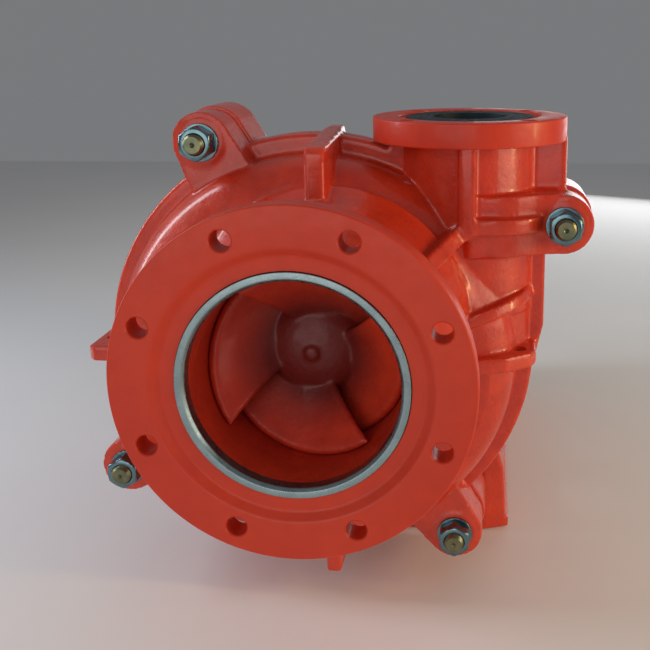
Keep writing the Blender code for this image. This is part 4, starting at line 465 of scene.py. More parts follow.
class Surface:
    """A Principled material and short ways to wire its pattern nodes."""

    def __init__(self, name, colour, roughness, metallic=0.0):
        self.material = bpy.data.materials.new(name)
        self.material.use_nodes = True
        self.tree = self.material.node_tree
        self.shader = self.tree.nodes["Principled BSDF"]
        self.fill(self.shader, {"Base Color": (*colour, 1.0), "Roughness": roughness,
                                "Metallic": metallic})
        self.places = self.tree.nodes.new("ShaderNodeTexCoord").outputs["Object"]

    def fill(self, node, inputs):
        """Link a node's inputs to other nodes' outputs, or set them; by name or number."""
        for name, value in inputs.items():
            if isinstance(value, bpy.types.NodeSocket):
                self.tree.links.new(value, node.inputs[name])
            else:
                node.inputs[name].default_value = value
        return node

    def added(self, kind, inputs):
        """A new node with its inputs filled."""
        return self.fill(self.tree.nodes.new(kind), inputs)

    def noise(self, scale, detail=4.0, roughness=0.55):
        """Noise in object space; scale is features per metre."""
        made = self.added("ShaderNodeTexNoise", {"Vector": self.places, "Scale": scale,
                                                 "Detail": detail, "Roughness": roughness})
        return made.outputs["Fac"]

    def ranged(self, value, low, high, to_low, to_high):
        """Map a value's range onto another, with its ends held."""
        made = self.added("ShaderNodeMapRange", {"Value": value, "From Min": low, "From Max": high,
                                                 "To Min": to_low, "To Max": to_high})
        return made.outputs["Result"]

    def blended(self, amount, first, second):
        """Mix two colours, or a pattern and a colour, by an amount."""
        made = self.added("ShaderNodeMix", {0: amount})
        made.data_type = "RGBA"
        for number, value in ((6, first), (7, second)):
            is_pattern = isinstance(value, bpy.types.NodeSocket)
            self.fill(made, {number: value if is_pattern else (*value, 1.0)})
        return made.outputs[2]

    def counted(self, operation, first, second=0.0):
        """One step of arithmetic."""
        made = self.added("ShaderNodeMath", {0: first, 1: second})
        made.operation = operation
        return made.outputs[0]

    def off_axis(self):
        """Distance from the shaft's axis."""
        split = self.added("ShaderNodeSeparateXYZ", {0: self.places})
        squares = []
        for name, middle in (("X", 0.0), ("Z", AXIS_HEIGHT)):
            offset = self.counted("SUBTRACT", split.outputs[name], middle)
            squares.append(self.counted("MULTIPLY", offset, offset))
        return self.counted("SQRT", self.counted("ADD", *squares))

    def rings(self, pitch):
        """Waves that run out from the shaft's axis, as a lathe tool leaves them."""
        return self.counted("SINE", self.counted("MULTIPLY", self.off_axis(), math.tau / pitch))

    def finished(self, tone, gloss, *layers):
        """The material with a pattern for its colour, its roughness and its relief.

        Gloss is (noise scale, detail, lowest, highest roughness); each layer of relief is
        (height, depth in metres), one on top of the other.
        """
        self.fill(self.shader, {"Base Color": tone})
        if gloss:
            wander = self.ranged(self.noise(*gloss[:2]), 0.3, 0.7, *gloss[2:])
            self.fill(self.shader, {"Roughness": wander})
        target = self.shader
        for height, depth in reversed(layers):
            bump = self.added("ShaderNodeBump", {"Distance": depth, "Height": height})
            self.fill(target, {"Normal": bump.outputs["Normal"]})
            target = bump
        return self.material


RED = (0.60, 0.036, 0.011)
DEEP_RED = (0.34, 0.015, 0.007)
BRIGHT_RED = (0.74, 0.058, 0.016)
# Painted shade: the dark red of the hollow round the impeller's hub
PAINTED_SHADE_RED = (0.12, 0.009, 0.007)


def enamel(name, grain, shine, coat, cloud=0.35, painted_shade_share=0.0, painted_shade_core=False):
    """Thick orange-red enamel over a casting; grain is the depth of the cast skin in metres.

    The share of the deep red runs from a floor to that floor plus cloud; a floor above nought is
    painted shade. A core round the shaft is painted darker, as the shade in the hollow about the hub.
    """
    made = Surface(name, RED, shine)
    broad = made.ranged(made.noise(7, 3), 0.35, 0.65, 0.0, 1.0)
    # Painted shade: a floor above nought lays deep red over the whole surface, not only in patches
    patches = made.ranged(made.noise(46, 5), 0.35, 0.7, painted_shade_share, painted_shade_share + cloud)
    tone = made.blended(made.counted("MULTIPLY", broad, cloud * 2), RED, BRIGHT_RED)
    tone = made.blended(patches, tone, DEEP_RED)
    if painted_shade_core:
        # Painted shade: darker towards the hub, where the impeller's hollow lies in shade
        depth = made.ranged(made.off_axis(), 0.046, 0.080, 0.95, 0.0)
        tone = made.blended(depth, tone, PAINTED_SHADE_RED)
    made.fill(made.shader, {"Specular IOR Level": 0.34, "Coat Weight": coat,
                            "Coat Roughness": 0.12})
    return made.finished(tone, (90, 4, shine - 0.06, shine + 0.14),
                         (made.noise(150, 6, 0.6), grain), (made.noise(520, 2), grain * 0.14))


def turned_steel(name, colour, roughness=0.30):
    """Bare machined steel with fine turning marks and a little tarnish."""
    made = Surface(name, colour, roughness, 1.0)
    stain = made.ranged(made.noise(38, 5), 0.4, 0.75, 0.0, 0.55)
    dull = tuple(value * 0.55 for value in colour)
    return made.finished(made.blended(stain, colour, dull),
                         (120, 3, roughness - 0.08, roughness + 0.12),
                         (made.rings(0.0011), 0.00003), (made.noise(700, 2), 0.00004))


def plated(name, colour, second, roughness):
    """Zinc plate: bright metal with faint coloured clouds."""
    made = Surface(name, colour, roughness, 1.0)
    clouds = made.ranged(made.noise(85, 4), 0.38, 0.66, 0.0, 1.0)
    return made.finished(made.blended(clouds, colour, second),
                         (240, 3, roughness - 0.04, roughness + 0.08),
                         (made.noise(600, 3), 0.000015))


def moulded_rubber(name):
    """Matt black rubber with a faint dusty bloom."""
    made = Surface(name, (0.010, 0.018, 0.023), 0.55)
    made.fill(made.shader, {"Specular IOR Level": 0.3})
    bloom = made.ranged(made.noise(60, 5), 0.42, 0.72, 0.0, 0.5)
    tone = made.blended(bloom, (0.006, 0.017, 0.025), (0.022, 0.044, 0.056))
    return made.finished(tone, (180, 3, 0.42, 0.68), (made.noise(420, 4), 0.00008))


def rough_iron(name, colour):
    """Unpainted hard iron as cast, with a little rust in its hollows."""
    made = Surface(name, colour, 0.62, 0.75)
    rust = made.ranged(made.noise(55, 6, 0.65), 0.52, 0.72, 0.0, 0.8)
    return made.finished(made.blended(rust, colour, (0.16, 0.07, 0.03)), (90, 4, 0.5, 0.8),
                         (made.noise(230, 6, 0.6), 0.0005))


def braided(name):
    """Greased square packing with a diagonal braid."""
    made = Surface(name, (0.16, 0.15, 0.13), 0.8)
    strands = made.added("ShaderNodeTexWave", {"Scale": 110, "Distortion": 1.5,
                                               "Vector": made.places})
    strands.wave_type = "BANDS"
    strands.bands_direction = "DIAGONAL"
    tone = made.blended(strands.outputs["Fac"], (0.07, 0.065, 0.055), (0.24, 0.22, 0.18))
    return made.finished(tone, None, (strands.outputs["Fac"], 0.0006))


CAST_ENAMEL = enamel("cast_enamel", 0.0008, 0.30, 0.5)
FLANGE_ENAMEL = enamel("flange_enamel", 0.00025, 0.40, 0.08, 0.16)
# Painted shade for the throat's bore and the impeller inside it: a deeper red floor and a darker core
# round the hub
VANE_ENAMEL_PAINTED_SHADE = enamel("vane_enamel_painted_shade", 0.0006, 0.46, 0.15, 0.35, 0.20, True)
STEEL = turned_steel("turned_steel", (0.50, 0.52, 0.51))
WORN_STEEL = turned_steel("worn_steel", (0.30, 0.39, 0.41))
ZINC = plated("zinc_plate", (0.16, 0.26, 0.30), (0.12, 0.20, 0.23), 0.20)
YELLOW = plated("yellow_plate", (0.22, 0.21, 0.12), (0.12, 0.15, 0.10), 0.34)
RUBBER = moulded_rubber("moulded_rubber")
IRON = rough_iron("white_iron", (0.28, 0.27, 0.26))
BRONZE = turned_steel("machined_bronze", (0.60, 0.38, 0.17), 0.32)
PACKING = braided("braided_packing")

# The record's finishes; the throat's bare nose belongs to an enamelled node
SLOT_MATERIALS = {"red_enamel": CAST_ENAMEL, "white_iron": IRON, "rubber": RUBBER,
                  "bronze": BRONZE, "packing": PACKING, "steel": STEEL, "zinc": ZINC,
                  "yellow_plate": YELLOW}
SLOT_OF = {material.name: slot for slot, material in SLOT_MATERIALS.items()}
for enamelled in (FLANGE_ENAMEL, VANE_ENAMEL_PAINTED_SHADE, WORN_STEEL):
    SLOT_OF[enamelled.name] = "red_enamel"


# Casing


def stud_places():
    """Name and (x, height) of each casing bolt."""
    places = {name: polar(CASING_CENTRE, STUD_CIRCLE, angle)
              for name, angle in STUD_ANGLES.items()}
    places["upper_right"] = SIDE_STUD
    return places


def lug_outline(name, place, growth):
    """Round-ended outline that runs from a casing bolt into the drum or the neck."""
    radius = LUG_RADIUS + growth
    if name == "upper_right":
        end = arc(place, radius, -90, 90, 24)
        return end + [(NECK_X, place[1] + radius), (NECK_X, place[1] - radius)]
    angle = STUD_ANGLES[name]
    root = polar(CASING_CENTRE, CASING_RADIUS * LUG_ROOT_SHARE, angle)
    aside = polar((0, 0), LUG_ROOT_HALF_WIDTH + growth, angle + 90)
    end = arc(place, radius, angle - 90, angle + 90, 24)
    return end + [(root[0] + toward * aside[0], root[1] + toward * aside[1]) for toward in (1, -1)]


def from_parting(side, distance):
    """Depth at a distance from the parting plane, on the cover's or the frame's side."""
    return PARTING_DEPTH + side * distance


def drum_cylinder(name, side, profile):
    """Turn (distance from the parting plane, radius) points about the drum's centre."""
    points = [(from_parting(side, along), radius) for along, radius in profile]
    return turned(name, points, FINE_STEPS, (CASING_CENTRE[0], 0, CASING_CENTRE[1]))


def half_parts(side, lug_reach):
    """What both casing halves have: rim, webs beside the neck, half the neck, and the lugs."""
    split = from_parting(side, HALF_SPLIT)
    radius = CASING_RADIUS + RIM_PROUD
    rim = drum_cylinder("rim", side, rounded([
        (HALF_SPLIT, 0.0), (HALF_SPLIT, radius), (RIM_THICKNESS, radius),
        (RIM_THICKNESS, 0.0)], RIM_EDGE))
    left = NECK_X - NECK_RADIUS - RIM_PROUD
    right = NECK_X + DISCHARGE_FLANGE_RADIUS * 0.995
    foot = CASING_CENTRE[1] + 0.004
    top = DISCHARGE_UNDERSIDE + 0.006
    tangent = polar(CASING_CENTRE, radius - 0.001, -20)
    web = [(left, foot), (NECK_X, tangent[1]), tangent, (NECK_WEB_RIGHT, foot + 0.030),
           (NECK_WEB_RIGHT, SIDE_STUD[1]), (right, SIDE_STUD[1]), (right, top), (left, top)]
    parts = [rim, between("web", web, split, from_parting(side, RIM_THICKNESS))]
    for low, high, reach in ((CASING_CENTRE[1], LEDGE_HEIGHT, LOWER_NECK_DEPTH),
                             (LEDGE_HEIGHT, top, NECK_RADIUS)):
        neck = [(NECK_X + x, split + y * reach / NECK_RADIUS) for x, y in
                arc((0, 0), NECK_RADIUS, 0, 180 * side, 48)]
        parts.append(extruded("neck", neck, low, high, UPWARD))
    reach = from_parting(side, lug_reach)
    growth = FRAME_LUG_GROWTH if side > 0 else 0.0
    for name, place in stud_places().items():
        parts.append(between("lug", lug_outline(name, place, growth), split, reach))
    return parts


def cover_skin():
    """The cover's belled front and drum: rings that move from the shaft to the drum's centre."""
    stations = [(SUCTION_FLANGE_THICKNESS - 0.006, SUCTION_NECK_RADIUS, 0.0)]
    shares = [index / 12 for index in range(13)]
    for share in shares:
        stations.append((mix(BELL_START, BELL_END, share),
                         mix(SUCTION_NECK_RADIUS, BELL_RADIUS, share ** 3), 0.0))
    reach = COVER_RADIUS - COVER_SHOULDER * 0.75
    for share in shares[1:]:
        bend = 1 - (1 - min(share * 3, 1.0)) ** 2
        stations.append((mix(BELL_END, DRUM_FACE, 0.62 * bend + 0.38 * share),
                         mix(BELL_RADIUS, reach, share), share))
    for inward, rise in quarter(30, 90):
        stations.append((PARTING_DEPTH - CASING_HALF_WIDTH + COVER_SHOULDER * inward,
                         COVER_RADIUS - COVER_SHOULDER * (1 - rise), 1.0))
    stations.append((PARTING_DEPTH - HALF_SPLIT, COVER_RADIUS, 1.0))
    turns = [math.tau * index / FINE_STEPS for index in range(FINE_STEPS)]
    return lofted("dish", [[(CASING_CENTRE[0] * share + radius * math.cos(turn), depth,
                             CASING_CENTRE[1] * share + radius * math.sin(turn))
                            for turn in turns] for depth, radius, share in stations])


def cover_ribs():
    """Fins of the cover at the top, bottom, left and right of the drum."""
    front = PARTING_DEPTH - CASING_HALF_WIDTH + 0.004
    back = PARTING_DEPTH - HALF_SPLIT
    half = RIB_THICKNESS / 2
    upper = [(FIN_FRONT - 0.002, CASING_TOP - TOP_RIB_ROOT), (FIN_FRONT, CASING_TOP + 0.007),
             (FIN_FRONT + 0.006, CASING_TOP + 0.0125), (back, CASING_TOP + TOP_RIB_RISE),
             (back, CASING_TOP - TOP_RIB_ROOT)]
    root = CASING_BOTTOM + BOTTOM_RIB_ROOT
    tip = CASING_BOTTOM - BOTTOM_RIB_DROP
    lower = [(front - 0.008, root), (front - 0.008, tip + 0.002), (front - 0.006, tip),
             (back, tip), (back, root)]
    root = SIDE_RIB_LEFT + 0.070
    left = [(root, front), (SIDE_RIB_LEFT + 0.007, front), (SIDE_RIB_LEFT, front + 0.007),
            (SIDE_RIB_LEFT, back), (root, back)]
    root = SIDE_RIB_RIGHT - SIDE_RIB_ROOT
    tip = SIDE_RIB_RIGHT + 0.001
    right = [(root, front - 0.026), (tip - 0.066, front - 0.023), (tip - 0.035, front - 0.014),
             (tip - 0.007, front + 0.006), (tip, front + 0.020), (tip, back), (root, back)]
    return [plate("rib", upper, TOP_RIB_X, TOP_RIB_THICKNESS / 2, ACROSS),
            plate("rib", lower, TOP_RIB_X, half, ACROSS),
            plate("side_rib", left, SIDE_RIB_HEIGHT, half, UPWARD),
            plate("side_rib", right, SIDE_RIB_HEIGHT, half, UPWARD)]


def neck_ribs():
    """Upright, level and slanting ribs on the neck's front, the lug's bar, and the ledge."""
    back = PARTING_DEPTH - 0.010
    half = NECK_RIB_HALF
    middle = SIDE_STUD[1] + 0.003
    upright = extruded("upright_rib", rectangle(NECK_X - half, NECK_X + half, middle - half,
                                                DISCHARGE_UNDERSIDE + 0.004), NECK_RIB_FRONT, back)
    end = SIDE_STUD[0] - 0.004
    plan = [(NECK_X, NECK_RIB_FRONT + 0.016), (NECK_X + 0.050, NECK_RIB_FRONT + 0.018),
            (SIDE_STUD[0] - 0.030, COVER_LUG_FACE - 0.004), (end, COVER_LUG_FACE), (end, back),
            (NECK_X, back)]
    bar = extruded("bar", rounded(plan, 0.020), SIDE_STUD[1] - LUG_RADIUS,
                   SIDE_STUD[1] + LUG_RADIUS + 0.002, UPWARD)
    end = SIDE_STUD[0] - LUG_BOSS_RADIUS + 0.003
    plan = [(NECK_X, NECK_RIB_FRONT + 0.001), (NECK_X + 0.055, NECK_RIB_FRONT + 0.005),
            (end, COVER_LUG_FACE - 0.010), (end, back), (NECK_X, back)]
    level = plate("level_rib", rounded(plan, 0.020), middle, 0.0085, UPWARD)
    root = THROAT_NOSE + 0.006
    far = math.hypot(NECK_X, SIDE_STUD[1]) + 0.006
    fin = [(root, 0.140), (root + 0.008, 0.146), (far - 0.016, NECK_RIB_FRONT - 0.001),
           (far, NECK_RIB_FRONT + 0.002), (far, back), (root, back)]
    slant = plate("slanting_rib", fin, 0.0, half, UPWARD)
    slant.data.transform(Matrix.Rotation(-math.atan2(SIDE_STUD[1], NECK_X), 4, "Y"))
    ledge = rod("ledge", -LEDGE_THICKNESS / 2, LEDGE_THICKNESS / 2, LEDGE_RADIUS, 96, axis=UPWARD)
    ledge.data.transform(Matrix.Rotation(math.radians(LEDGE_TILT), 4, "Y"))
    ledge.data.transform(Matrix.Translation((NECK_X, PARTING_DEPTH - LEDGE_REACH, LEDGE_HEIGHT)))
    return [upright, bar, level, slant, ledge]


def casing_cavity(side):
    """Cutter for the space inside one casing half, which the liner fills."""
    radius = COVER_RADIUS - CASING_WALL
    depth = CASING_HALF_WIDTH - CASING_WALL
    return drum_cylinder("cavity", side, [
        (-0.02, 0.0), (-0.02, radius), (depth - COVER_SHOULDER, radius),
        (depth - LINER_SLANT, radius - LINER_SLANT), (depth, radius - COVER_SHOULDER),
        (depth, 0.0)])


def casing_holes(side):
    """Cutters for the bolt holes and the neck's bore of one casing half."""
    outer = COVER_BOSS_FACE if side < 0 else FRAME_LUG_FACE
    cutters = [hole_cutter(outer, PARTING_DEPTH - side * 0.01, STUD_RADIUS + 0.001, HOLE_CHAMFER,
                           centre=(x, 0, height)) for x, height in stud_places().values()]
    return cutters + [rod("neck_bore", CASING_CENTRE[1] + 0.02, DISCHARGE_TOP, NECK_BORE, 96,
                          **NECK_PLACE)]


def cover_shell():
    """Front casing half behind its suction flange."""
    parts = half_parts(-1, COVER_LUG_DEPTH)
    parts += [cover_skin(), *cover_ribs(), *neck_ribs()]
    parts += [rod("boss", COVER_BOSS_FACE, COVER_LUG_FACE + 0.01, LUG_BOSS_RADIUS, 64,
                  centre=(x, 0, height)) for x, height in stud_places().values()]
    shell = cast("cover_shell", parts)
    cutters = casing_holes(-1)
    for x, depth in ((SIDE_RIB_LEFT + 0.019, 0.301), (SIDE_RIB_RIGHT - 0.0185, 0.284)):
        cutters.append(rod("lifting_hole", SIDE_RIB_HEIGHT - 0.02, SIDE_RIB_HEIGHT + 0.012,
                           LIFTING_HOLE, HOLE_STEPS, centre=(x, depth, 0), axis=UPWARD))
    cut(shell, cutters)
    cut(shell, [casing_cavity(-1)])
    seat = THROAT_FLANGE_FRONT - 0.0008
    end = PARTING_DEPTH + 0.02
    return cut(shell, [turned("throat", [
        (-0.02, 0.0), (-0.02, THROAT_NOSE + 0.001), (seat, THROAT_NOSE + 0.001),
        (seat, THROAT_FLANGE_RADIUS + 0.001), (end, THROAT_FLANGE_RADIUS + 0.001), (end, 0.0)], 96)])


def liner_drum(name, half, radius):
    """Round drum about the volute's centre, with the slant of the cover's cavity."""
    outline = []
    for side in (-1, 1):
        slant = [(side * half, 0.0), (side * half, radius - COVER_SHOULDER),
                 (side * (half - LINER_SLANT), radius - LINER_SLANT),
                 (side * (half - COVER_SHOULDER), radius)]
        outline += slant if side < 0 else list(reversed(slant))
    return drum_cylinder(name, 1, outline)


def volute_liner():
    """Wear liner inside the casing with its neck, open at the eye, the back and the top."""
    half = CASING_HALF_WIDTH - CASING_WALL - SEAT_GAP
    radius = COVER_RADIUS - CASING_WALL - SEAT_GAP
    top = DISCHARGE_TOP - JOINT_RING_THICKNESS - SEAT_GAP
    parts = [liner_drum("drum", half, radius),
             rod("liner_neck", CASING_CENTRE[1], top, NECK_BORE - SEAT_GAP * 2, 96, **NECK_PLACE)]
    liner = cast("liner_casting", parts, keep=0.4, voxel=0.003, rounds=4, swell=0.0)
    cut(liner, [liner_drum("cavity", half - LINER_WALL, radius - LINER_WALL)])
    cut(liner, [rod("bore", CASING_CENTRE[1], DISCHARGE_TOP, DISCHARGE_BORE, 96, **NECK_PLACE)])
    return cut(liner, [rod("openings", PARTING_DEPTH - CASING_HALF_WIDTH,
                           PARTING_DEPTH + CASING_HALF_WIDTH, THROAT_FLANGE_RADIUS + SEAT_GAP)])


def bolt_circle(radius, count):
    """Offsets of a flange's bolt holes, which straddle its centre lines."""
    turns = [math.tau * (index + 0.5) / count for index in range(count)]
    return [(radius * math.cos(turn), radius * math.sin(turn)) for turn in turns]


def suction_flange():
    """Machined suction flange with its face recess and bolt holes."""
    back = SUCTION_FLANGE_THICKNESS
    bore = THROAT_NOSE + 0.0006
    neck = SUCTION_NECK_RADIUS + 0.0005
    rim = SUCTION_RECESS_RADIUS + 0.001
    end = back + SUCTION_SPIGOT_LENGTH
    profile = [(SUCTION_RECESS_DEPTH, bore), (SUCTION_RECESS_DEPTH, rim - SUCTION_RECESS_SLOPE),
               (0.0, rim), (0.0, SUCTION_FLANGE_RADIUS), (back, SUCTION_FLANGE_RADIUS),
               (back, neck), (end, neck), (end, bore)]
    flange = turned("suction_flange", rounded(profile, 0.0022), 192)
    return cut(flange, [hole_cutter(0.0, back + 0.01, SUCTION_BOLT_HOLE, 0.0012,
                                    centre=(x, 0, height))
                        for x, height in bolt_circle(SUCTION_BOLT_CIRCLE, SUCTION_BOLT_COUNT)])


def discharge_flange(side):
    """One half of the split discharge flange."""
    low = DISCHARGE_UNDERSIDE
    top = DISCHARGE_TOP
    seat = top - JOINT_RING_THICKNESS
    step = top - DISCHARGE_STEP_DEPTH
    bore = JOINT_RING_RADIUS + 0.0004
    profile = rounded([
        (low, NECK_BORE), (low, DISCHARGE_FLANGE_RADIUS), (top, DISCHARGE_FLANGE_RADIUS),
        (top, DISCHARGE_STEP_RADIUS), (step, DISCHARGE_STEP_RADIUS), (step, bore), (seat, bore),
        (seat, NECK_BORE)], 0.002)
    name = "discharge_flange_front" if side < 0 else "discharge_flange_rear"
    flange = turned(name, profile, 192, **NECK_PLACE)
    cut(flange, [between("other_half", rectangle(-0.5, 0.5, -0.5, 0.5),
                         from_parting(side, HALF_SPLIT), PARTING_DEPTH - side * 0.3)])
    return cut(flange, [hole_cutter(top, low - 0.01, DISCHARGE_BOLT_HOLE, HOLE_CHAMFER, axis=UPWARD,
                                    centre=(NECK_X + x, PARTING_DEPTH + depth, 0))
                        for x, depth in bolt_circle(DISCHARGE_BOLT_CIRCLE, DISCHARGE_BOLT_COUNT)
                        if depth * side > 0])


def frame_shell():
    """Rear casing half with the boss that the base bolts to."""
    parts = half_parts(1, FRAME_LUG_DEPTH)
    profile = [(HALF_SPLIT, 0.0), (HALF_SPLIT, CASING_RADIUS)]
    for inward, rise in reversed(quarter(0, 90)):
        profile.append((CASING_HALF_WIDTH - SHOULDER_RADIUS * inward,
                        CASING_RADIUS - SHOULDER_RADIUS * (1 - rise)))
    profile.append((CASING_HALF_WIDTH, 0.0))
    parts.append(drum_cylinder("drum", 1, profile))
    parts.append(rod("boss", BOSS_FACE - 0.02, BOSS_FACE, FRAME_BOSS_RADIUS))
    back = PARTING_DEPTH + FRAME_RIB_REACH
    split = PARTING_DEPTH + HALF_SPLIT
    half = RIB_THICKNESS / 2
    for root, tip, toward in ((CASING_TOP - 0.04, CASING_TOP + TOP_RIB_RISE, 1),
                              (CASING_BOTTOM + 0.04, CASING_BOTTOM - 0.024, -1)):
        outline = [(split, root), (split, tip), (back - RIB_CORNER, tip),
                   (back, tip - toward * RIB_CORNER), (back, root)]
        parts.append(plate("rib", outline, TOP_RIB_X, half, ACROSS))
    for edge, toward in ((SIDE_RIB_LEFT, 1), (SIDE_RIB_RIGHT, -1)):
        root = edge + toward * FRAME_RIB_ROOT
        outline = [(root, split), (edge, split), (edge, back - RIB_CORNER),
                   (edge + toward * RIB_CORNER, back), (root, back)]
        parts.append(plate("side_rib", outline, SIDE_RIB_HEIGHT, half, UPWARD))
    left = SIDE_RIB_LEFT + 0.002
    top = SIDE_RIB_HEIGHT + 0.048
    web = [(left, SIDE_RIB_HEIGHT), (left, SIDE_RIB_HEIGHT + half), (left + 0.025, top),
           (left + 0.058, top), (left + 0.058, SIDE_RIB_HEIGHT)]
    parts.append(extruded("left_web", web, split + 0.005, split + 0.0125))
    shell = cast("frame_shell", parts)
    cut(shell, casing_holes(1))
    cut(shell, [casing_cavity(1)])
    return cut(shell, [rod("box_bore", PARTING_DEPTH - 0.02, BOSS_FACE + 0.01, STUFFING_BOX_BORE, 96)])


def throat():
    """Wear bush of the suction: a bare nose inside the flange and a painted bore."""
    start = THROAT_SETBACK
    front = THROAT_FLANGE_FRONT
    outside = rounded([
        (start + BARE_BAND, THROAT_BORE), (start + 0.0035, THROAT_BORE),
        (start, THROAT_BORE + THROAT_EDGE), (start, THROAT_NOSE), (0.060, THROAT_NOSE),
        (0.200, THROAT_NOSE + 0.004), (front, THROAT_NOSE + 0.020), (front, THROAT_FLANGE_RADIUS),
        (THROAT_END, THROAT_FLANGE_RADIUS), (THROAT_END, THROAT_BORE + THROAT_FLARE)], 0.0008)
    for inward, rise in quarter(10, 90):
        outside.append((THROAT_END - THROAT_FLARE * inward * 0.8,
                        THROAT_BORE + THROAT_FLARE * (1 - rise)))
    return turned("throat_lining", outside, 192)


def paint_bore(lining):
    """Enamel the faces of the throat's bore behind its bare nose."""
    # The bore's enamel is darkened: painted shade for the inside of the throat
    lining.data.materials.append(VANE_ENAMEL_PAINTED_SHADE)
    for face in lining.data.polygons:
        x, depth, height = TO_PUMP @ face.center
        inside = math.hypot(x, height) < THROAT_NOSE - THROAT_EDGE
        if depth > THROAT_SETBACK + BARE_BAND and inside:
            face.material_index = 1


def hub_radius(depth):
    """Outer radius of the impeller's hub at a depth."""
    run = depth - IMPELLER_NOSE_DEPTH
    if run <= 0:
        return HUB_LEAST_RADIUS
    if run < HUB_NOSE_LENGTH:
        dome = IMPELLER_HUB_RADIUS * math.sqrt(1 - (1 - run / HUB_NOSE_LENGTH) ** 2)
        return max(HUB_LEAST_RADIUS, dome)
    straight = IMPELLER_FRONT - IMPELLER_NOSE_DEPTH - HUB_NOSE_LENGTH
    return IMPELLER_HUB_RADIUS + HUB_FLARE * eased((run - HUB_NOSE_LENGTH) / straight)


def vane_turn(depth):
    """Degrees that a vane has turned back from its tip at a depth along its outer edge."""
    run = depth - VANE_TIP_DEPTH
    if run > VANE_STEADY_RUN:
        fade = IMPELLER_FRONT - VANE_TIP_DEPTH - VANE_STEADY_RUN
        share = min((run - VANE_STEADY_RUN) / fade, 1.0)
        run = VANE_STEADY_RUN + fade * (share - VANE_FADE * share * share / 2)
    return run * VANE_TURN_PER_METRE


def vane_paths():
    """Meridional (depth, radius) points of a vane's inner and outer edges, and its turn."""
    rows = []
    count = 56
    inner_end = EYE_END + INNER_LAG
    for index in range(count + 1):
        share = index / count
        outer_depth = mix(VANE_TIP_DEPTH, EYE_END, share)
        inner_depth = mix(VANE_TIP_DEPTH + VANE_SWEEP, inner_end, share)
        rows.append(((inner_depth, hub_radius(inner_depth) - VANE_ROOT_DEPTH),
                     (outer_depth, VANE_TIP_RADIUS), vane_turn(outer_depth)))
    last_turn = rows[-1][2]
    rim = IMPELLER_RADIUS - 0.0015
    for index in range(1, 11):
        share = index / 10
        angle = math.radians(90 * share)
        outer = (mix(EYE_END, IMPELLER_FRONT + 0.006, math.sin(angle)),
                 mix(VANE_TIP_RADIUS, rim, 1 - math.cos(angle)))
        inner = (mix(inner_end, IMPELLER_BACK - 0.007, math.sin(angle)),
                 mix(hub_radius(inner_end) - VANE_ROOT_DEPTH, rim, 1 - math.cos(angle)))
        rows.append((inner, outer, last_turn + VANE_CHANNEL_TURN * share))
    return rows


def vane_grid(phase):
    """Rows of points over a vane's middle surface, from its hub to its outer edge."""
    grid = []
    for inner, outer, turn in vane_paths():
        row = []
        for step in range(VANE_SPAN + 1):
            share = step / VANE_SPAN
            angle = math.radians(phase - turn - VANE_LEAN * (1 - share))
            radius = mix(inner[1], outer[1], share)
            row.append(Vector((radius * math.cos(angle), mix(inner[0], outer[0], share),
                               radius * math.sin(angle))))
        grid.append(row)
    return grid


def vane(index):
    """One screw vane: a surface swept from the hub outward, thickened both ways."""
    grid = vane_grid(VANE_PHASE + 360 * index / VANE_COUNT)
    last = len(grid) - 1
    shape = bmesh.new()
    skins = []
    for facing in (-1, 1):
        skin = []
        for number, row in enumerate(grid):
            line = []
            for step, point in enumerate(row):
                along = grid[min(number + 1, last)][step] - grid[max(number - 1, 0)][step]
                outward = row[min(step + 1, VANE_SPAN)] - row[max(step - 1, 0)]
                edge = min(1.0, 0.45 + 0.2 * number)
                edge += VANE_ROOT_GROWTH * (1 - step / VANE_SPAN) ** 2 * min(number / 5, 1.0)
                offset = along.cross(outward).normalized() * (facing * VANE_THICKNESS / 2 * edge)
                line.append(shape.verts.new(point + offset))
            skin.append(line)
        skins.append(skin)
    low, high = skins
    hub_edge, tip_edge = [[(one[end], two[end]) for one, two in zip(low, high)] for end in (0, -1)]
    for strip in (*skins, hub_edge, tip_edge, (low[0], high[0]), (low[last], high[last])):
        for line, after in zip(strip, strip[1:]):
            for step in range(len(line) - 1):
                shape.faces.new((line[step], after[step], after[step + 1], line[step + 1]))
    return solid("vane", shape)


def impeller():
    """Closed impeller with screw vanes that reach out into the throat."""
    nose = IMPELLER_NOSE_DEPTH
    profile = [(nose, 0.0)]
    for inward, rise in quarter(10, 80):
        profile.append((nose + HUB_NOSE_LENGTH * inward, IMPELLER_HUB_RADIUS * rise))
    for step in range(21):
        depth = mix(nose + HUB_NOSE_LENGTH, IMPELLER_FRONT, step / 20)
        profile.append((depth, hub_radius(depth)))
    for inward, rise in quarter(10, 90):
        profile.append((mix(IMPELLER_FRONT, IMPELLER_BACK - BACK_SHROUD, rise),
                        mix(hub_radius(IMPELLER_FRONT), IMPELLER_RADIUS, inward)))
    profile += [(IMPELLER_BACK, IMPELLER_RADIUS), (IMPELLER_BACK, 0.0)]
    inner = VANE_TIP_RADIUS + 0.010
    front = IMPELLER_FRONT + IMPELLER_SWELL
    rim = IMPELLER_RADIUS - IMPELLER_SWELL / 2
    parts = [turned("hub", profile), rod("centre_bump", nose - 0.0045, nose + 0.01, 0.0065)]
    parts.append(turned("front_shroud", [
        (front, inner + 0.004), (front, rim), (front + 0.010, rim), (front + 0.0085, inner + 0.010),
        (front + 0.005, inner)]))
    parts += [vane(index) for index in range(VANE_COUNT)]
    return cast("impeller_casting", parts, voxel=0.0018, rounds=26, swell=IMPELLER_SWELL)


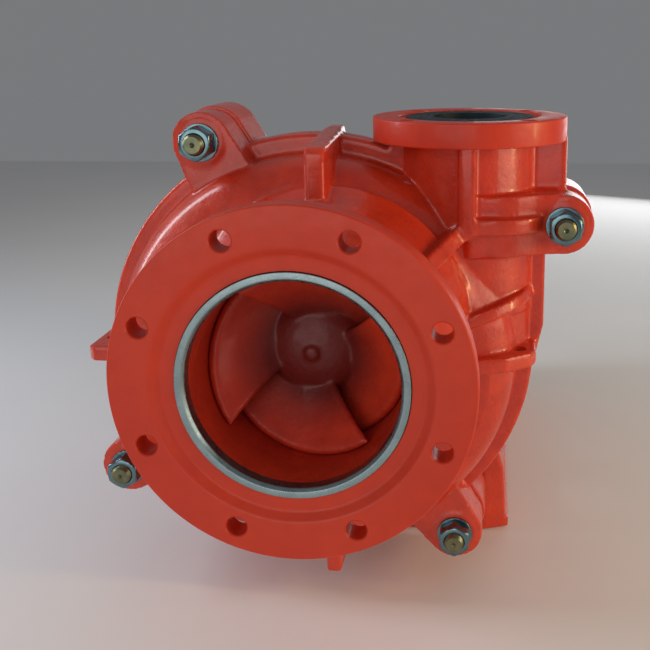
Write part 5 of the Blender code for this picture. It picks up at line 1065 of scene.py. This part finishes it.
def joint_ring():
    """Rubber joint ring in the discharge flange, with shallow sealing grooves."""
    low = DISCHARGE_TOP - JOINT_RING_THICKNESS
    top = DISCHARGE_TOP - 0.0006
    profile = [(low, DISCHARGE_BORE), (low, JOINT_RING_RADIUS), (top, JOINT_RING_RADIUS)]
    for radius in GROOVE_RADII:
        profile += [(top, radius + GROOVE_HALF_WIDTH), (top - GROOVE_DEPTH, radius),
                    (top, radius - GROOVE_HALF_WIDTH)]
    profile.append((top, DISCHARGE_BORE))
    return turned("joint_ring", rounded(profile, 0.0012), **NECK_PLACE)


# Fasteners


def hexagon(angle, flats):
    """Radius of a hexagon at an angle, with its corners eased."""
    inside = (angle + math.pi / 6) % (math.pi / 3) - math.pi / 6
    return min(flats / 2 / math.cos(abs(inside) - math.pi / 6), flats / math.sqrt(3) * 0.985)


def ring_about(line, along, reach):
    """Points about a line (point, axis) at the radius that reach(angle) gives."""
    centre, axis = line
    side = UPWARD if axis == AXIAL else ACROSS
    other = axis.cross(side)
    points = []
    count = 72
    for index in range(count):
        turn = math.tau * index / count
        radius = reach(turn)
        points.append(Vector(centre) + axis * along + side * (radius * math.cos(turn))
                      + other * (radius * math.sin(turn)))
    return points


def round_ring(line, along, radius):
    """Points on a circle about a line."""
    return ring_about(line, along, lambda turn: radius)


def hex_rings(line, start, end, flats):
    """Rings down a hexagon whose corners are turned off at both ends."""
    face = flats / 2 * 0.95
    away = math.copysign(1, end - start)
    runs = [CHAMFER_STEP * step for step in range(7)]
    stations = [(start + away * run, face + run * 1.75) for run in runs]
    stations += [(end - away * run, face + run * 1.75) for run in reversed(runs)]
    return [ring_about(line, along, lambda turn, limit=limit: min(hexagon(turn, flats), limit))
            for along, limit in stations]


def threaded(line, start, end, radius, pitch):
    """Rings of a screw thread from start to end, with the first turns chamfered."""
    away = math.copysign(1, end - start)
    rings = []
    count = max(int(abs(end - start) / pitch * 8), 8)
    for index in range(count + 1):
        along = mix(start, end, index / count)

        def reach(turn, along=along):
            phase = (along / pitch - turn / math.tau) % 1.0
            depth = pitch * 0.55 * abs(2 * phase - 1)
            return min(radius - depth, radius - pitch + (along - start) * away)

        rings.append(ring_about(line, along, reach))
    return rings


def nut(name, line, start, end, flats, bore):
    """A hexagon nut with chamfered corners and a countersunk bore."""
    inside = start + math.copysign(0.001, end - start)
    rings = [round_ring(line, inside, bore), round_ring(line, start, bore + 0.001)]
    rings += hex_rings(line, start, end, flats)
    rings.append(round_ring(line, end, bore))
    return lofted(name, rings, closed=True)


def hex_bolt(name, line, tip, shoulder, radius, flats, head, thread, pitch=0.0025):
    """A bolt from its threaded tip to its head; the tip has a centre mark."""
    away = math.copysign(1, shoulder - tip)
    rings = [round_ring(line, tip + away * run, size)
             for run, size in ((0.0022, 0.0002), (0.0006, 0.0022), (0.0, 0.0030))]
    rings += threaded(line, tip, tip + away * thread, radius, pitch)
    rings += [round_ring(line, tip + away * (thread + 0.001), radius),
              round_ring(line, shoulder, radius)]
    rings += hex_rings(line, shoulder, shoulder + away * head, flats)
    return lofted(name, rings)


def washer(name, line, start, end, bore, radius):
    """A flat washer with rounded edges."""
    profile = rounded([(start, bore), (start, radius), (end, radius), (end, bore)], 0.0007, True)
    return turned(name, profile, 72, *line)


def casing_fasteners():
    """Bolt, nut and washer at each casing lug."""
    washer_back = COVER_BOSS_FACE - SEAT_GAP
    washer_front = washer_back - CASING_WASHER_THICKNESS
    nut_back = washer_front - SEAT_GAP
    shoulder = FRAME_LUG_FACE + SEAT_GAP
    for name, (x, height) in stud_places().items():
        line = ((x, 0, height), AXIAL)
        placed(washer("washer_" + name, line, washer_front, washer_back, CASING_WASHER_BORE,
                      CASING_WASHER_RADIUS), ZINC, "frame", "casing_washer_" + name)
        placed(nut("nut_" + name, line, nut_back - CASING_NUT_HEIGHT, nut_back, CASING_FLATS,
                   CASING_NUT_BORE), ZINC, "frame", "casing_nut_" + name)
        placed(hex_bolt("bolt_" + name, line, nut_back - CASING_BOLT_TIP, shoulder, STUD_RADIUS,
                        CASING_FLATS, CASING_BOLT_HEAD, CASING_THREAD), YELLOW, "frame",
               "casing_bolt_" + name)


def small_bolt(node, axis):
    """A hexagon bolt where its CAD node stands; its head is at the far end."""
    line, tip, end = node_line(node, axis)
    placed(hex_bolt(node + "_threaded", line, tip, end - SMALL_BOLT_HEAD, SMALL_BOLT_RADIUS,
                    SMALL_FLATS, SMALL_BOLT_HEAD, SMALL_THREAD, SMALL_THREAD_PITCH),
           ZINC, "frame", node)


def small_nut(node, body, flats, bore):
    """A hexagon nut along the shaft's direction where its CAD node stands."""
    line, start, end = node_line(node, AXIAL)
    placed(nut(node + "_chamfered", line, end, start, flats, bore), ZINC, body, node)


def long_stud(node, body, radius, pitch, material):
    """A threaded stud along the shaft's direction where its CAD node stands."""
    line, start, end = node_line(node, AXIAL)
    rings = [round_ring(line, end, 0.002), *threaded(line, end, start + pitch, radius, pitch),
             round_ring(line, start, radius - pitch)]
    placed(lofted(node + "_threaded", rings), material, body, node)


def small_fasteners():
    """Bolts of the base and the bearing housing, the gland's studs and the adjusting screw."""
    for number in (1, 2, 3, 4):
        small_bolt("frame_bolt_%d" % number, AXIAL)
        small_bolt("clamp_bolt_%d" % number, UPWARD)
        node = "clamp_washer_%d" % number
        line, low, high = node_line(node, UPWARD)
        placed(washer(node + "_rounded", line, low, high, SMALL_WASHER_BORE, SMALL_WASHER_RADIUS),
               ZINC, "frame", node)
    for side in ("left", "right"):
        long_stud("gland_stud_" + side, "frame", GLAND_STUD_RADIUS, GLAND_STUD_PITCH, ZINC)
        small_nut("gland_nut_" + side, "gland", GLAND_NUT_FLATS, GLAND_STUD_RADIUS + 0.0003)
    long_stud("adjusting_screw", "bearing_assembly", ADJUSTING_RADIUS, ADJUSTING_PITCH, STEEL)
    for side in ("inner", "outer"):
        small_nut("adjusting_nut_" + side, "frame", ADJUSTING_FLATS, ADJUSTING_RADIUS + 0.0005)


def drive_side():
    """Castings and turned parts behind the casing, with their edges softened."""
    for material, body, keep, voxel, nodes in (
            (CAST_ENAMEL, "frame", 0.4, 0.0030, ["base"]),
            (CAST_ENAMEL, "bearing_assembly", 0.5, 0.0024, ["bearing_housing"]),
            (CAST_ENAMEL, "frame", 0.5, 0.0020, ["stuffing_box"]),
            (FLANGE_ENAMEL, "bearing_assembly", 0.5, 0.0016, ["front_end_cover", "rear_end_cover"]),
            (BRONZE, "gland", 0.6, 0.0014, ["gland_half_left", "gland_half_right"]),
            (STEEL, "rotor", 0.5, 0.0016, ["shaft", "shaft_sleeve", "shaft_key"])):
        for node in nodes:
            placed(recast(node, keep, voxel), material, body, node)


placed(cover_shell(), CAST_ENAMEL, "frame", "cover_plate")
placed(suction_flange(), FLANGE_ENAMEL, "frame")
placed(discharge_flange(-1), FLANGE_ENAMEL, "frame")
placed(frame_shell(), CAST_ENAMEL, "frame", "frame_plate")
placed(discharge_flange(1), FLANGE_ENAMEL, "frame")
lining = placed(throat(), WORN_STEEL, "frame", "throat_bush")
paint_bore(lining)
# The impeller's enamel carries painted shade, darkest round its hub
placed(impeller(), VANE_ENAMEL_PAINTED_SHADE, "rotor", "impeller")
placed(volute_liner(), IRON, "frame", "volute_liner")
placed(joint_ring(), RUBBER, "frame", "discharge_joint_ring")
casing_fasteners()
small_fasteners()
drive_side()

# CAD pieces that keep their shape take a detailed material
for part in frame["record"]["subparts"]:
    node = frame["nodes"][part["node"]]
    node.data.materials.clear()
    node.data.materials.append(SLOT_MATERIALS[part["material_slot"]])


# Floor, light and camera


def floor():
    """A pale floor with the faint unevenness of a painted sheet."""
    sheet = extruded("floor", rectangle(-4, 4, -4, 4), -0.02, -0.0005, UPWARD)
    made = Surface("pale_floor", (0.80, 0.80, 0.79), 0.6)
    tone = made.blended(made.noise(3, 4), (0.78, 0.78, 0.775), (0.83, 0.83, 0.825))
    sheet.data.materials.append(made.finished(tone, None))


def softbox(name, place, target, size, power, colour=(1, 1, 1)):
    """A large area light that faces a target."""
    light = bpy.data.lights.new(name, "AREA")
    light.shape = "RECTANGLE"
    light.size, light.size_y = size
    light.energy = power
    light.color = colour
    lamp = shown(name, light)
    lamp.location = place
    lamp.rotation_euler = (Vector(target) - Vector(place)).to_track_quat("-Z", "Y").to_euler()


def surroundings():
    """Pale even light from all round."""
    world = bpy.data.worlds.new("pale_room")
    world.use_nodes = True
    back = world.node_tree.nodes["Background"]
    back.inputs["Color"].default_value = (0.94, 0.96, 1.0, 1.0)
    back.inputs["Strength"].default_value = 0.20
    bpy.context.scene.world = world


def camera():
    """The photograph's viewpoint."""
    data = bpy.data.cameras.new("camera")
    data.lens = EYE_LENS
    data.sensor_width = 36.0
    data.shift_x, data.shift_y = EYE_SHIFT
    eye = shown("camera", data)
    heading, pitch, roll = [math.radians(angle) for angle in EYE_ANGLES]
    turn = (Matrix.Rotation(heading, 4, "Z") @ Matrix.Rotation(pitch, 4, "X")
            @ Matrix.Rotation(roll, 4, "Z"))
    eye.matrix_world = Matrix.Translation(EYE_PLACE) @ turn
    bpy.context.scene.camera = eye


floor()
surroundings()
softbox("overhead", (0.2, 0.4, 2.3), (0, -0.1, 0.4), (2.4, 1.8), 1.5)
softbox("left", (-1.9, -0.1, 1.25), (0, -0.2, 0.35), (0.35, 1.7), 22, (0.90, 0.93, 1.0))
softbox("front", (-0.5, -2.6, 0.9), (0, -0.3, 0.4), (2.2, 1.6), 17, (1.0, 0.97, 0.93))
softbox("right", (1.9, -0.45, 0.8), (0.1, -0.25, 0.4), (0.10, 0.9), 10, (1.0, 0.68, 0.24))
softbox("right_soft", (2.4, -1.0, 0.7), (0.1, -0.25, 0.4), (1.6, 1.2), 17, (1.0, 0.86, 0.68))
softbox("rear", (1.1, 2.7, 0.5), (0, 0.3, 0.35), (2.2, 0.8), 14)
camera()
bpy.context.scene.view_settings.view_transform = "Standard"
